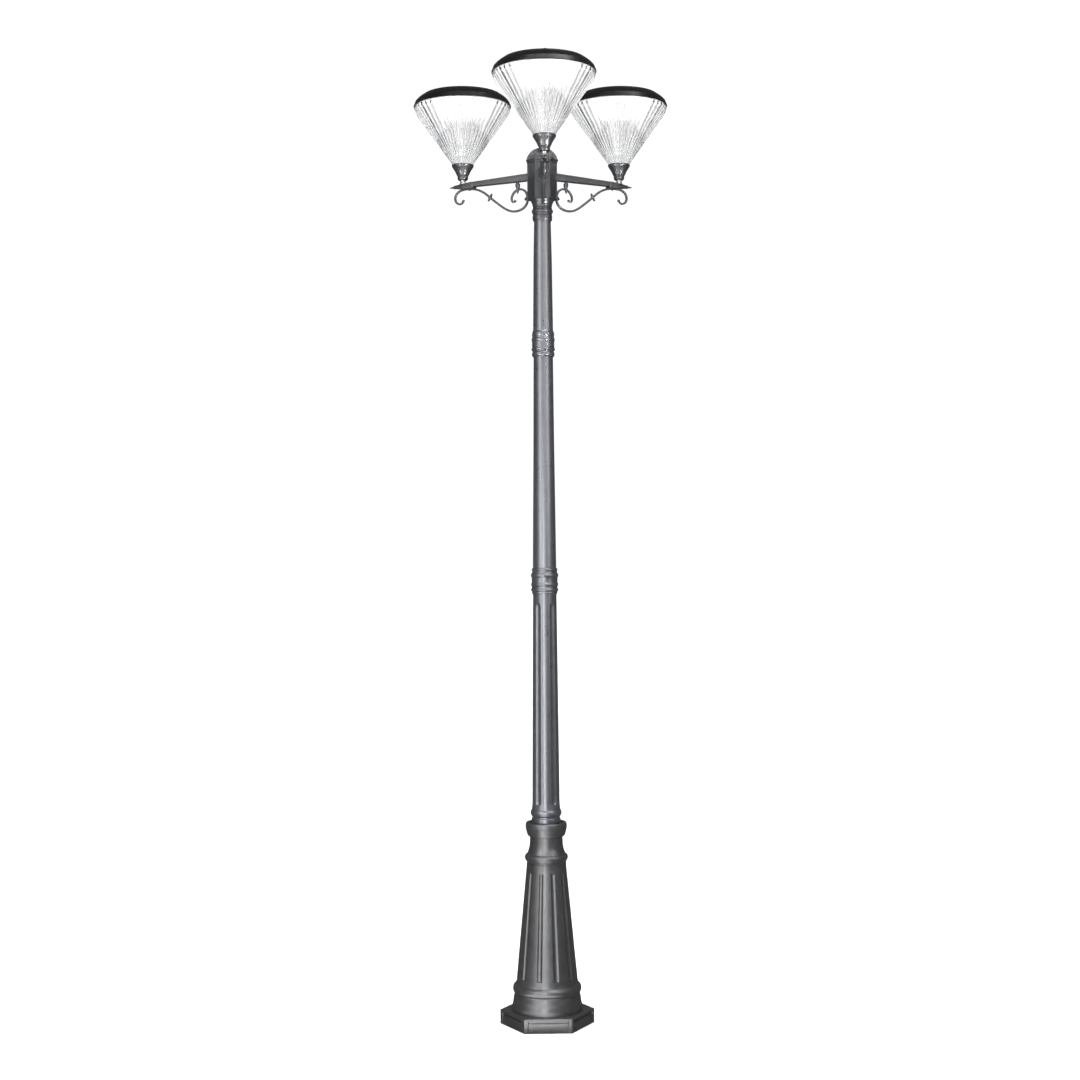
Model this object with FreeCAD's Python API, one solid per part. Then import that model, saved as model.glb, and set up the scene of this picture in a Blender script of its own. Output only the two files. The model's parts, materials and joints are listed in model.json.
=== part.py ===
import FreeCAD, Part
import os
import math

V = FreeCAD.Vector

os.makedirs("parts", exist_ok=True)

# ---------------------------------------------------------------------------
# Triple head lamp post.  Millimetres, +Z up, origin on the ground at the post
# axis.  One arm points to the front (-Y), the other two to the back left and
# the back right, 120 degrees apart.
# ---------------------------------------------------------------------------

# driving dimensions: foot and pedestal
FOOT_CORNER_R = 162.0      # hexagon corner radius, corners on +X and -X
FOOT_H = 49.0
FOOT_GROOVE_Z = (33.5, 41.5)
FOOT_GROOVE_DEPTH = 6.0
FOOT_POST_W = 14.0         # width of the plain corner post each side of a corner
FOOT_WEB_T = 12.0
FOOT_POCKET_R = 96.0
FOOT_REGISTER_R = 107.0
FOOT_REGISTER_TOP = 66.0
ANCHOR_PCD = 150.0
ANCHOR_COUNT = 4
ANCHOR_R = 7.0
FOOT_DRAIN_R = 35.0
PED_WALL = 8.0
PED_FLUTES = 11
PED_FLUTE_Z = (162.0, 522.0)
PED_TOP = 645.0
NECK_BORE_R = 48.0

# cup and pole
CUP_TOP = 692.0
SOCKET_R = 44.2
POLE_TENON_R = 44.0
POLE_BOTTOM = 600.0
POLE_FLUTES = 5
POLE_FLUTE_Z = (752.0, 1444.0)
JOINT1_Z = 1522.0          # lower pole meets middle pole
JOINT2_Z = 2336.0          # middle pole meets upper pole
SLEEVE1_R = 33.0
SLEEVE2_R = 29.0
UPPER_TOP = 2829.0
HUB_SLEEVE_R = 24.8

# hub
HUB_CORNER_R = 51.5
HUB_BOTTOM = 2829.0
HUB_TOP = 2965.0
HUB_CAVITY_R = 37.0
HUB_FLOOR = 10.0
DOME_RIM_R = 55.5
DOME_TOP = 3010.0

# arms and heads
ARM_DIRS = {"front": -90.0, "right": 30.0, "left": 150.0}
ARM_W = 22.0
ARM_TIP_U = 373.5
HEAD_U = 318.0
SADDLE = (270.0, 326.0, 2897.0, 2916.0)
SCROLL_SCREW_U = 290.0
HOLDER_BOTTOM = 2929.0
DIFF_FOOT_Z = 2972.0
CAP_RIM_Z = 3186.0
CAP_R = 171.0
CAP_TOP_Z = 3230.5
CAP_WALL = 3.0
PANEL_R = 105.0
BUTTON_U = 117.0           # distance of the push button from the head axis
BUTTON_TRAVEL = 2.5
REFLECTOR_R = 161.0
LED_R = 62.0


def rot(shape, deg, at=(0, 0, 0), axis=(0, 0, 1)):
    s = shape.copy()
    s.rotate(V(*at), V(*axis), deg)
    return s


def moved(shape, x=0.0, y=0.0, z=0.0):
    s = shape.copy()
    s.translate(V(x, y, z))
    return s


def wire_rz(runs):
    """Closed wire in the XZ plane from runs of (r, z) points.

    A run of two points is a straight edge, a longer run is one smooth curve."""
    edges = []
    for run in runs:
        pts = [V(r, 0, z) for r, z in run]
        if len(pts) == 2:
            edges.append(Part.makeLine(pts[0], pts[1]))
        else:
            curve = Part.BSplineCurve()
            curve.interpolate(pts)
            edges.append(curve.toShape())
    first = edges[0].valueAt(edges[0].FirstParameter)
    last = edges[-1].valueAt(edges[-1].LastParameter)
    if first.distanceToPoint(last) > 1e-6:
        edges.append(Part.makeLine(last, first))
    return Part.Wire(edges)


def chain(runs):
    """Runs that start where the last one ended, given without that point."""
    out = []
    last = None
    for run in runs:
        pts = list(run)
        if last is not None and pts[0] != last:
            pts = [last] + pts
        out.append(pts)
        last = pts[-1]
    return out


def lathe(runs):
    w = wire_rz(chain(runs))
    s = Part.Face(w).revolve(V(0, 0, 0), V(0, 0, 1), 360.0)
    if s.ShapeType != "Solid":
        s = Part.Solid(s.Shells[0]) if s.Shells else s
    if s.Volume < 0:
        s.reverse()
    return s


def lines(pts):
    return [[a, b] for a, b in zip(pts[:-1], pts[1:])]


def ring(r_out, r_in, z0, z1):
    s = Part.makeCylinder(r_out, z1 - z0, V(0, 0, z0))
    if r_in > 0:
        s = s.cut(Part.makeCylinder(r_in, z1 - z0, V(0, 0, z0)))
    return s


def disc(r, z0, z1, x=0.0, y=0.0):
    return Part.makeCylinder(r, z1 - z0, V(x, y, z0))


def hexagon(corner_r, z0, z1, twist=0.0):
    pts = [
        V(corner_r * math.cos(math.radians(60 * i + twist)),
          corner_r * math.sin(math.radians(60 * i + twist)), z0)
        for i in range(6)
    ]
    face = Part.Face(Part.makePolygon(pts + [pts[0]]))
    return face.extrude(V(0, 0, z1 - z0))


def box(x0, x1, y0, y1, z0, z1):
    return Part.makeBox(x1 - x0, y1 - y0, z1 - z0, V(x0, y0, z0))


def fuse(items):
    s = items[0]
    if len(items) > 1:
        s = s.multiFuse(items[1:])
    return s.removeSplitter()


def group(items):
    return Part.makeCompound(items)


def soften(shape, radius, pick):
    """Rounds the edges that pick() chooses, and leaves the shape as it was if
    the rounding can't be made."""
    edges = [e for e in shape.Edges if pick(e)]
    if not edges:
        return shape
    try:
        out = shape.makeFillet(radius, edges)
        if out.isValid() and out.Volume > 0:
            return out
    except Exception:
        pass
    return shape


def save(shape, name):
    solids = shape.Solids
    if not solids:
        raise RuntimeError(name + ": no solid")
    for s in solids:
        if not s.isValid() or s.Volume <= 0:
            raise RuntimeError(name + ": bad solid")
    out = solids[0] if len(solids) == 1 else Part.makeCompound(solids)
    out.exportStep("parts/" + name + ".step")
    bb = out.BoundBox
    print("%-26s solids %2d  volume %10.1f  z %.1f..%.1f" % (
        name, len(solids), sum(s.Volume for s in solids), bb.ZMin, bb.ZMax))


def radial_pin(r_body, z, deg, r_in, r_out, head_r=0.0, head_t=0.0):
    """A pin along a radius of the post from r_in to r_out."""
    s = Part.makeCylinder(r_body, r_out - r_in, V(r_in, 0, z), V(1, 0, 0))
    if head_r:
        s = s.fuse(Part.makeCylinder(head_r, head_t, V(r_out, 0, z), V(1, 0, 0)))
    return rot(s, deg)


def set_screw(r_body, z, deg, r_in, r_out):
    """A headless screw along a radius, with a hexagon socket in its outer end."""
    s = Part.makeCylinder(r_body, r_out - r_in, V(r_in, 0, z), V(1, 0, 0))
    sock = Part.makeCylinder(r_body * 0.5, 2.5, V(r_out - 2.5, 0, z), V(1, 0, 0))
    return rot(s.cut(sock), deg)


# ---------------------------------------------------------------------------
# Hexagonal foot casting
# ---------------------------------------------------------------------------

apothem = FOOT_CORNER_R * math.cos(math.radians(30))
foot = hexagon(FOOT_CORNER_R, 0, FOOT_H)
foot = soften(foot, 3.0, lambda e: all(abs(v.Z - FOOT_H) < 0.01 for v in e.Vertexes))
side = FOOT_CORNER_R
for i in range(6):
    cut = box(apothem - FOOT_GROOVE_DEPTH, apothem + 5,
              -side / 2 + FOOT_POST_W, side / 2 - FOOT_POST_W,
              FOOT_GROOVE_Z[0], FOOT_GROOVE_Z[1])
    # the panel below the groove stands back a little from the corner posts
    panel = box(apothem - 1.6, apothem + 5,
                -side / 2 + FOOT_POST_W, side / 2 - FOOT_POST_W,
                3.0, FOOT_GROOVE_Z[0])
    foot = foot.cut(rot(cut.fuse(panel), 30 + 60 * i))
foot = foot.fuse(ring(FOOT_REGISTER_R, FOOT_POCKET_R, FOOT_H - 5, FOOT_REGISTER_TOP))
foot = foot.cut(disc(FOOT_POCKET_R, FOOT_WEB_T, FOOT_REGISTER_TOP + 1))
foot = foot.cut(disc(FOOT_DRAIN_R, -1, FOOT_WEB_T + 1))
anchor_angles = [45 + 90 * i for i in range(ANCHOR_COUNT)]
for a in anchor_angles:
    x = ANCHOR_PCD / 2 * math.cos(math.radians(a))
    y = ANCHOR_PCD / 2 * math.sin(math.radians(a))
    foot = foot.cut(disc(ANCHOR_R, -1, FOOT_WEB_T + 1, x, y))
# tapped holes for the pedestal's set screws
set_angles = [60, 180, 300]
for a in set_angles:
    foot = foot.cut(radial_pin(3.0, 58.0, a, 90, 115))
foot = foot.removeSplitter()
save(foot, "base_foot")

# ---------------------------------------------------------------------------
# Fluted pedestal casting
# ---------------------------------------------------------------------------

ped_outer = [
    [(121.0, 49.2), (121.0, 52.0)],
    [(121.0, 52.0), (119.8, 65.0), (117.4, 77.0), (116.3, 88.0)],
    [(116.3, 88.0), (114.6, 96.0), (112.7, 103.5)],
    [(112.7, 103.5), (112.7, 108.5)],
    [(112.7, 108.5), (115.3, 112.0), (117.4, 118.0), (117.6, 125.0), (115.8, 132.0), (112.0, 136.5)],
    [(112.0, 136.5), (107.5, 139.5)],
    [(107.5, 139.5), (106.0, 146.0)],
    [(106.0, 146.0), (105.2, 149.0)],
    [(105.2, 149.0), (69.7, 526.0)],
    [(69.7, 526.0), (68.8, 533.0), (68.3, 543.0), (68.2, 551.0)],
    [(68.2, 551.0), (66.2, 552.5)],
    [(66.2, 552.5), (66.2, 556.0)],
    [(66.2, 556.0), (69.0, 557.5)],
    [(69.0, 557.5), (69.4, 560.5)],
    [(69.4, 560.5), (72.6, 564.5), (74.4, 570.5), (73.8, 576.5), (70.8, 581.5)],
    [(70.8, 581.5), (66.0, 584.0)],
    [(66.0, 584.0), (62.6, 593.0), (59.4, 603.0), (57.6, 614.0), (56.6, 626.0), (56.0, PED_TOP)],
    [(56.0, PED_TOP), (NECK_BORE_R, PED_TOP)],
    [(NECK_BORE_R, PED_TOP), (NECK_BORE_R, 592.0)],
    [(NECK_BORE_R, 592.0), (62.0, 540.0)],
    [(62.0, 540.0), (61.0, 510.0)],
    [(61.0, 510.0), (96.5, 150.0)],
    [(96.5, 150.0), (107.2, 112.0)],
    [(107.2, 112.0), (107.2, 49.2)],
]
ped = lathe(ped_outer)
slope = math.atan2(105.2 - 69.7, 526.0 - 149.0)
for i in range(PED_FLUTES):
    z0, z1 = PED_FLUTE_Z
    r0 = 105.2 + (69.7 - 105.2) * (z0 - 149.0) / 377.0
    r1 = 105.2 + (69.7 - 105.2) * (z1 - 149.0) / 377.0
    w0, d0 = 9.6, 4.6
    w1, d1 = 7.0, 3.8
    rho0 = (w0 * w0 + d0 * d0) / (2 * d0)
    rho1 = (w1 * w1 + d1 * d1) / (2 * d1)
    p0 = V(r0 + (rho0 - d0) * math.cos(slope), 0, z0 + (rho0 - d0) * math.sin(slope))
    p1 = V(r1 + (rho1 - d1) * math.cos(slope), 0, z1 + (rho1 - d1) * math.sin(slope))
    d = p1.sub(p0)
    cutter = Part.makeCone(rho0, rho1, d.Length, p0, d)
    ang = -90 + 180.0 + 360.0 * i / PED_FLUTES
    ped = ped.cut(rot(cutter, ang))
for a in set_angles:
    ped = ped.cut(radial_pin(3.0, 58.0, a, 100, 130))
cup_screw_angles = [30, 150, 270]
for a in cup_screw_angles:
    ped = ped.cut(radial_pin(3.0, 622.0, a + 60, 44, 60))
save(ped, "pedestal")

save(group([set_screw(2.9, 58.0, a, 100.0, 120.0) for a in set_angles]), "pedestal_set_screws")

# ---------------------------------------------------------------------------
# Cup casting on the pedestal's neck, which carries the pole
# ---------------------------------------------------------------------------

cup = lathe([
    [(NECK_BORE_R - 0.1, 596.0), (NECK_BORE_R - 0.1, PED_TOP)],
    [(NECK_BORE_R - 0.1, PED_TOP), (62.0, PED_TOP)],
    [(62.0, PED_TOP), (64.2, 648.0), (66.4, 654.0), (69.0, 664.0), (70.7, 671.0), (71.2, 678.0), (70.8, 685.0)],
    [(70.8, 685.0), (70.0, 689.5), (67.8, CUP_TOP)],
    [(67.8, CUP_TOP), (64.0, CUP_TOP)],
    [(64.0, CUP_TOP), (60.0, 687.5), (54.0, 684.0), (50.2, 683.0)],
    [(50.2, 683.0), (SOCKET_R, 683.0)],
    [(SOCKET_R, 683.0), (SOCKET_R, 596.0)],
    [(SOCKET_R, 596.0), (NECK_BORE_R - 0.1, 596.0)],
])
for a in cup_screw_angles:
    cup = cup.cut(radial_pin(3.0, 622.0, a + 60, 40, 60))
save(cup, "pedestal_cup")
save(group([set_screw(2.9, 622.0, a + 60, POLE_TENON_R - 0.6, 56.4) for a in cup_screw_angles]), "cup_set_screws")

# ---------------------------------------------------------------------------
# Lower pole: turned foot ring, five flutes, plain head
# ---------------------------------------------------------------------------

low = lathe([
    [(POLE_TENON_R, POLE_BOTTOM), (POLE_TENON_R, 683.0)],
    [(POLE_TENON_R, 683.0), (50.0, 683.0)],
    [(50.0, 683.0), (50.4, 690.0), (50.2, 698.0), (49.4, 706.0)],
    [(49.4, 706.0), (47.6, 708.5)],
    [(47.6, 708.5), (47.6, 712.0)],
    [(47.6, 712.0), (50.4, 714.5)],
    [(50.4, 714.5), (52.4, 718.5), (53.4, 724.5), (52.6, 730.5), (50.6, 734.5)],
    [(50.6, 734.5), (49.0, 736.5)],
    [(49.0, 736.5), (48.1, 745.0), (47.4, 755.0), (46.8, 768.0)],
    [(46.8, 768.0), (40.6, 1469.0)],
    [(40.6, 1469.0), (40.5, JOINT1_Z)],
    [(40.5, JOINT1_Z), (SLEEVE1_R + 0.1, JOINT1_Z)],
    [(SLEEVE1_R + 0.1, JOINT1_Z), (SLEEVE1_R + 0.1, 1380.0)],
    [(SLEEVE1_R + 0.1, 1380.0), (39.0, 768.0)],
    [(39.0, 768.0), (39.0, POLE_BOTTOM)],
])
slope2 = math.atan2(46.8 - 40.6, 1469.0 - 768.0)
for i in range(POLE_FLUTES):
    z0, z1 = POLE_FLUTE_Z
    def r_at(z):
        return 46.8 + (40.6 - 46.8) * (z - 768.0) / 701.0
    w0, d0 = 10.6, 4.0
    w1, d1 = 9.4, 3.5
    rho0 = (w0 * w0 + d0 * d0) / (2 * d0)
    rho1 = (w1 * w1 + d1 * d1) / (2 * d1)
    # the ends are rounded: each is a ball of the cutter's own radius
    za, zb = z0 + 9.0, z1 - 8.0
    p0 = V(r_at(za) - d0 + rho0, 0, za)
    p1 = V(r_at(zb) - d1 + rho1, 0, zb)
    d = p1.sub(p0)
    cutter = Part.makeCone(rho0, rho1, d.Length, p0, d)
    balls = [Part.makeSphere(rho0, p0), Part.makeSphere(rho1, p1)]
    cutter = cutter.multiFuse(balls)
    low = low.cut(rot(cutter, 90 + 72.0 * i))
for a in (90, 210, 330):
    low = low.cut(radial_pin(2.5, 1500.0, a, 30, 50))
    low = low.cut(radial_pin(3.0, 622.0, a, 42.9, 47))
save(low, "lower_pole")

# ---------------------------------------------------------------------------
# Lower joint: turned collar outside, steel sleeve inside, set screws
# ---------------------------------------------------------------------------

collar1 = lathe([
    [(40.7, 1476.0), (42.6, 1476.0)],
    [(42.6, 1476.0), (43.6, 1477.5), (43.9, 1480.5), (43.6, 1483.0)],
    [(43.6, 1483.0), (43.4, 1484.5)],
    [(43.4, 1484.5), (46.0, 1486.0), (47.3, 1489.5), (46.6, 1493.5), (44.4, 1496.0)],
    [(44.4, 1496.0), (44.2, 1502.0)],
    [(44.2, 1502.0), (46.1, 1504.5), (46.9, 1508.5), (46.2, 1512.5), (44.6, 1515.0)],
    [(44.6, 1515.0), (44.6, 1533.0)],
    [(44.6, 1533.0), (46.3, 1535.5), (47.2, 1540.0), (46.3, 1544.5), (44.2, 1547.0)],
    [(44.2, 1547.0), (43.6, 1550.0)],
    [(43.6, 1550.0), (42.6, 1552.0)],
    [(42.6, 1552.0), (42.6, 1555.0)],
    [(42.6, 1555.0), (43.9, 1557.0), (44.2, 1560.0), (43.4, 1563.0), (41.6, 1565.0)],
    [(41.6, 1565.0), (40.7, 1565.0)],
])
for a in (90, 210, 330):
    collar1 = collar1.cut(radial_pin(2.5, 1500.0, a, 38, 50))
    collar1 = collar1.cut(radial_pin(2.5, 1524.0 + 14.0, a + 60, 38, 50))
save(collar1, "lower_joint_collar")

sleeve1 = ring(SLEEVE1_R, SLEEVE1_R - 3.5, 1400.0, 1644.0)
for a in (90, 210, 330):
    sleeve1 = sleeve1.cut(radial_pin(2.5, 1500.0, a, 25, 36))
    sleeve1 = sleeve1.cut(radial_pin(2.5, 1538.0, a + 60, 25, 36))
save(sleeve1, "lower_joint_sleeve")
save(group(
    [set_screw(2.4, 1500.0, a, 29.0, 43.6) for a in (90, 210, 330)]
    + [set_screw(2.4, 1538.0, a + 60, 29.0, 45.6) for a in (90, 210, 330)]),
    "lower_joint_screws")

# ---------------------------------------------------------------------------
# Middle pole: plain, tapering
# ---------------------------------------------------------------------------

mid = lathe([
    [(40.5, JOINT1_Z), (40.1, 1572.0)],
    [(40.1, 1572.0), (37.9, 1799.0)],
    [(37.9, 1799.0), (35.8, 1985.0)],
    [(35.8, 1985.0), (33.5, 2287.0)],
    [(33.5, 2287.0), (33.3, 2291.0)],
    [(33.3, 2291.0), (34.3, 2292.0)],
    [(34.3, 2292.0), (34.3, JOINT2_Z)],
    [(34.3, JOINT2_Z), (SLEEVE2_R + 0.1, JOINT2_Z)],
    [(SLEEVE2_R + 0.1, JOINT2_Z), (SLEEVE2_R + 0.1, 2210.0)],
    [(SLEEVE2_R + 0.1, 2210.0), (SLEEVE1_R + 0.1, 1660.0)],
    [(SLEEVE1_R + 0.1, 1660.0), (SLEEVE1_R + 0.1, JOINT1_Z)],
])
for a in (90, 210, 330):
    mid = mid.cut(radial_pin(2.5, 1538.0, a + 60, 30, 50))
    mid = mid.cut(radial_pin(2.5, 2325.0, a, 25, 45))
save(mid, "middle_pole")

# ---------------------------------------------------------------------------
# Upper joint
# ---------------------------------------------------------------------------

collar2 = lathe([
    [(34.4, 2291.0), (36.6, 2291.0)],
    [(36.6, 2291.0), (38.2, 2294.0), (38.9, 2299.0), (38.4, 2304.0), (37.2, 2307.0)],
    [(37.2, 2307.0), (36.4, 2309.0)],
    [(36.4, 2309.0), (36.4, 2311.0)],
    [(36.4, 2311.0), (39.4, 2312.5), (40.6, 2316.0), (39.8, 2319.5), (38.3, 2321.5)],
    [(38.3, 2321.5), (38.3, 2343.5)],
    [(38.3, 2343.5), (39.4, 2346.0), (39.9, 2350.0), (39.2, 2354.0), (37.6, 2356.5)],
    [(37.6, 2356.5), (37.4, 2361.5)],
    [(37.4, 2361.5), (38.1, 2364.0), (38.3, 2368.0), (37.6, 2373.0), (36.2, 2377.0)],
    [(36.2, 2377.0), (35.0, 2380.0)],
    [(35.0, 2380.0), (34.4, 2380.0)],
])
for a in (90, 210, 330):
    collar2 = collar2.cut(radial_pin(2.5, 2325.0, a, 30, 45))
save(collar2, "upper_joint_collar")
sleeve2 = ring(SLEEVE2_R, SLEEVE2_R - 3.0, 2225.0, 2450.0)
for a in (90, 210, 330):
    sleeve2 = sleeve2.cut(radial_pin(2.5, 2325.0, a, 20, 32))
for a in (270, 30, 150):
    sleeve2 = sleeve2.cut(radial_pin(2.5, 2411.0, a, 20, 32))
save(sleeve2, "upper_joint_sleeve")
save(group(
    [set_screw(2.4, 2325.0, a, 26.5, 37.8) for a in (90, 210, 330)]
    + [set_screw(2.4, 2411.0, a, 26.5, 33.0) for a in (270, 30, 150)]),
    "upper_joint_screws")

# ---------------------------------------------------------------------------
# Upper pole, neck collar and hub sleeve
# ---------------------------------------------------------------------------

upp = lathe([
    [(34.3, JOINT2_Z), (34.3, 2384.0)],
    [(34.3, 2384.0), (33.1, 2487.0)],
    [(33.1, 2487.0), (31.5, 2630.0)],
    [(31.5, 2630.0), (28.9, 2749.0)],
    [(28.9, 2749.0), (28.8, UPPER_TOP)],
    [(28.8, UPPER_TOP), (HUB_SLEEVE_R + 0.1, UPPER_TOP)],
    [(HUB_SLEEVE_R + 0.1, UPPER_TOP), (HUB_SLEEVE_R + 0.1, 2690.0)],
    [(HUB_SLEEVE_R + 0.1, 2690.0), (SLEEVE2_R + 0.1, 2480.0)],
    [(SLEEVE2_R + 0.1, 2480.0), (SLEEVE2_R + 0.1, JOINT2_Z)],
])
for a in (270, 30, 150):
    upp = upp.cut(radial_pin(2.5, 2411.0, a, 27, 40))
    upp = upp.cut(radial_pin(2.5, 2752.0, a, 22, 34))
save(upp, "upper_pole")

neck = lathe([
    [(28.95, 2757.0), (31.2, 2757.0)],
    [(31.2, 2757.0), (32.8, 2760.5), (33.9, 2767.0), (33.7, 2773.5), (33.2, 2776.5)],
    [(33.2, 2776.5), (32.2, 2777.5)],
    [(32.2, 2777.5), (32.2, 2779.5)],
    [(32.2, 2779.5), (33.4, 2780.5)],
    [(33.4, 2780.5), (33.6, 2784.5)],
    [(33.6, 2784.5), (36.0, 2786.5), (36.9, 2790.0), (35.9, 2794.0), (33.6, 2796.5)],
    [(33.6, 2796.5), (33.0, 2802.5)],
    [(33.0, 2802.5), (31.9, 2803.5)],
    [(31.9, 2803.5), (31.9, 2805.5)],
    [(31.9, 2805.5), (33.0, 2806.5)],
    [(33.0, 2806.5), (33.9, 2812.0), (36.2, 2819.0), (39.8, 2826.0), (41.2, HUB_BOTTOM)],
    [(41.2, HUB_BOTTOM), (28.95, HUB_BOTTOM)],
])
save(neck, "neck_collar")

hub_sleeve = ring(HUB_SLEEVE_R, HUB_SLEEVE_R - 3.2, 2705.0, 2868.0)
for a in (270, 30, 150):
    hub_sleeve = hub_sleeve.cut(radial_pin(2.5, 2752.0, a, 18, 28))
save(hub_sleeve, "hub_sleeve")
save(group([set_screw(2.4, 2752.0, a, 21.0, 28.4) for a in (270, 30, 150)]), "hub_set_screws")

# ---------------------------------------------------------------------------
# Hub: hollow hexagonal casting with a rib on each corner, and its dome
# ---------------------------------------------------------------------------

hub_ap = HUB_CORNER_R * math.cos(math.radians(30))
hub = hexagon(HUB_CORNER_R - 1.2, HUB_BOTTOM, HUB_TOP - 3.0)
ribs = []
for i in range(6):
    c = V((HUB_CORNER_R - 2.4) * math.cos(math.radians(60 * i)),
          (HUB_CORNER_R - 2.4) * math.sin(math.radians(60 * i)), HUB_BOTTOM)
    ribs.append(Part.makeCylinder(2.4, HUB_TOP - 3.0 - HUB_BOTTOM, c))
hub = hub.multiFuse(ribs)
hub = hub.fuse(hexagon(HUB_CORNER_R + 1.5, HUB_TOP - 10.0, HUB_TOP - 3.0))
hub = hub.fuse(hexagon(HUB_CORNER_R + 0.6, HUB_BOTTOM, HUB_BOTTOM + 4.0))
hub = hub.fuse(ring(31.0, 0, HUB_BOTTOM, 2868.0))
hub = hub.cut(ring(HUB_CAVITY_R, 31.0, HUB_BOTTOM + HUB_FLOOR, HUB_TOP))
hub = hub.cut(disc(HUB_CAVITY_R, 2868.0, HUB_TOP))
hub = hub.cut(disc(HUB_SLEEVE_R + 0.1, HUB_BOTTOM - 1, 2870.0))
BOLT_Z = (2893.0, 2934.0)
SCROLL_PAD_Z = 2839.0
for deg in ARM_DIRS.values():
    for z in BOLT_Z:
        hub = hub.cut(radial_pin(3.2, z, deg, 30, 60))
    hub = hub.cut(radial_pin(2.6, SCROLL_PAD_Z - 0.0, deg, 36, 60))
# a cast bridge across the hub's mouth takes the dome's screw
bridge = box(-39.0, 39.0, -9.0, 9.0, 2951.0, 2957.0).common(disc(HUB_CAVITY_R + 2.0, 2950, 2962))
bridge = bridge.fuse(disc(6.0, 2957.0, 2972.0))
hub = hub.fuse(bridge).cut(disc(2.35, 2950.0, 2973.0))
hub = hub.removeSplitter()
save(hub, "hub_body")

# the dome: a hexagonal cloche of six curved facets over the hub's mouth
def hex_loft(sections):
    wires = []
    for r, z in sections:
        pts = [V(r * math.cos(math.radians(60 * i)), r * math.sin(math.radians(60 * i)), z) for i in range(7)]
        wires.append(Part.makePolygon(pts))
    return Part.makeLoft(wires, True, False)


dome_sections = [(55.5, 2962.0), (56.0, 2966.0), (55.0, 2969.5)]
dome_rim = hex_loft([(55.2, 2962.0), (55.9, 2966.0), (55.2, 2970.0)])
dome_shell = [(53.4, 2970.0), (52.4, 2975.0), (50.2, 2981.0), (46.4, 2987.0), (41.6, 2993.0), (36.0, 2998.5),
              (29.5, 3003.0), (22.0, 3006.6), (13.0, 3009.0)]
dome = hex_loft(dome_shell).fuse(dome_rim)
inner = hex_loft([(r - 4.0, z - 4.0) for r, z in dome_shell[1:-1]])
dome = dome.cut(hexagon(49.0, 2961.0, 2971.2)).cut(inner)
dome = dome.cut(disc(3.2, 2995.0, 3012.0))
bolts_in_dome = []
dome = dome.removeSplitter()
save(dome, "hub_dome")

dome_screw = disc(2.3, 2957.0, 3009.2).fuse(
    lathe([[(0, 3009.0), (8.5, 3009.0)], [(8.5, 3009.0), (8.2, 3011.2), (6.4, 3013.0), (3.2, 3014.2), (0, 3014.6)],
           [(0, 3014.6), (0, 3009.0)]]))
dome_screw = dome_screw.removeSplitter()
save(dome_screw, "dome_screw")

# ---------------------------------------------------------------------------
# Arms
# ---------------------------------------------------------------------------


def plate_uz(points, w, y0=0.0):
    """A plate in an arm's own plane, from (u, z) points, w thick across it."""
    pts = [V(u, y0 - w / 2, z) for u, z in points]
    return Part.Face(Part.makePolygon(pts + [pts[0]])).extrude(V(0, w, 0))


def arm_shape():
    bar = plate_uz([(hub_ap + 3.0, 2900.5), (hub_ap + 3.0, 2926.5), (278.0, 2919.5), (278.0, 2902.0)], ARM_W)
    bar = soften(bar, 3.0, lambda e: abs(e.Vertexes[0].X - e.Vertexes[-1].X) > 100)
    root = plate_uz([(hub_ap - 1.0, 2886.0), (hub_ap - 1.0, 2942.0), (hub_ap + 4.0, 2942.0), (hub_ap + 4.0, 2886.0)], 26.0)
    root = soften(root, 3.0, lambda e: abs(e.Vertexes[0].X - e.Vertexes[-1].X) > 4.9
                  and abs(e.Vertexes[0].Z - e.Vertexes[-1].Z) < 0.1)
    saddle = plate_uz([(SADDLE[0], SADDLE[2]), (SADDLE[0], SADDLE[3] + 2.0), (SADDLE[0] + 4, SADDLE[3] + 3.5),
                       (SADDLE[1] - 2, SADDLE[3]), (SADDLE[1], SADDLE[3] - 2.0), (SADDLE[1], SADDLE[2])], 27.0)
    saddle = soften(saddle, 2.0, lambda e: abs(e.Vertexes[0].Y - e.Vertexes[-1].Y) < 0.1)
    tip = plate_uz([(SADDLE[1] - 2, 2899.0), (SADDLE[1] - 2, 2915.5), (336.0, 2914.6), (350.0, 2912.6), (350.0, 2902.5), (336.0, 2900.5)], 17.0)
    tip = soften(tip, 2.0, lambda e: abs(e.Vertexes[0].Y - e.Vertexes[-1].Y) < 0.1
                 and abs(e.Vertexes[0].X - e.Vertexes[-1].X) > 5)
    spike = Part.makeCone(5.0, 1.2, ARM_TIP_U - 348.5, V(348.5, 0, 2907.6), V(1, 0, 0))
    collar = Part.makeCylinder(6.4, 4.0, V(349.2, 0, 2907.6), V(1, 0, 0))
    arm = fuse([bar, root, saddle, tip, spike, collar])
    for z in BOLT_Z:
        arm = arm.cut(Part.makeCylinder(3.2, 8.0, V(hub_ap - 2.0, 0, z), V(1, 0, 0)))
    arm = arm.cut(disc(6.05, 2902.0, 2925.0, HEAD_U))
    # a flat seat for the head's stud
    arm = arm.cut(disc(11.4, 2916.2, 2925.0, HEAD_U))
    arm = arm.cut(disc(2.3, 2890.0, 2910.0, SCROLL_SCREW_U))
    return arm.removeSplitter()


arm_master = arm_shape()
# the root plate seats against the hub's flat face
arm_master = arm_master.cut(box(0, hub_ap - 1.2 * math.cos(math.radians(30)), -40, 40, 2850, 2960))
for side_name, deg in ARM_DIRS.items():
    save(rot(arm_master, deg), "arm_" + side_name)


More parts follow.
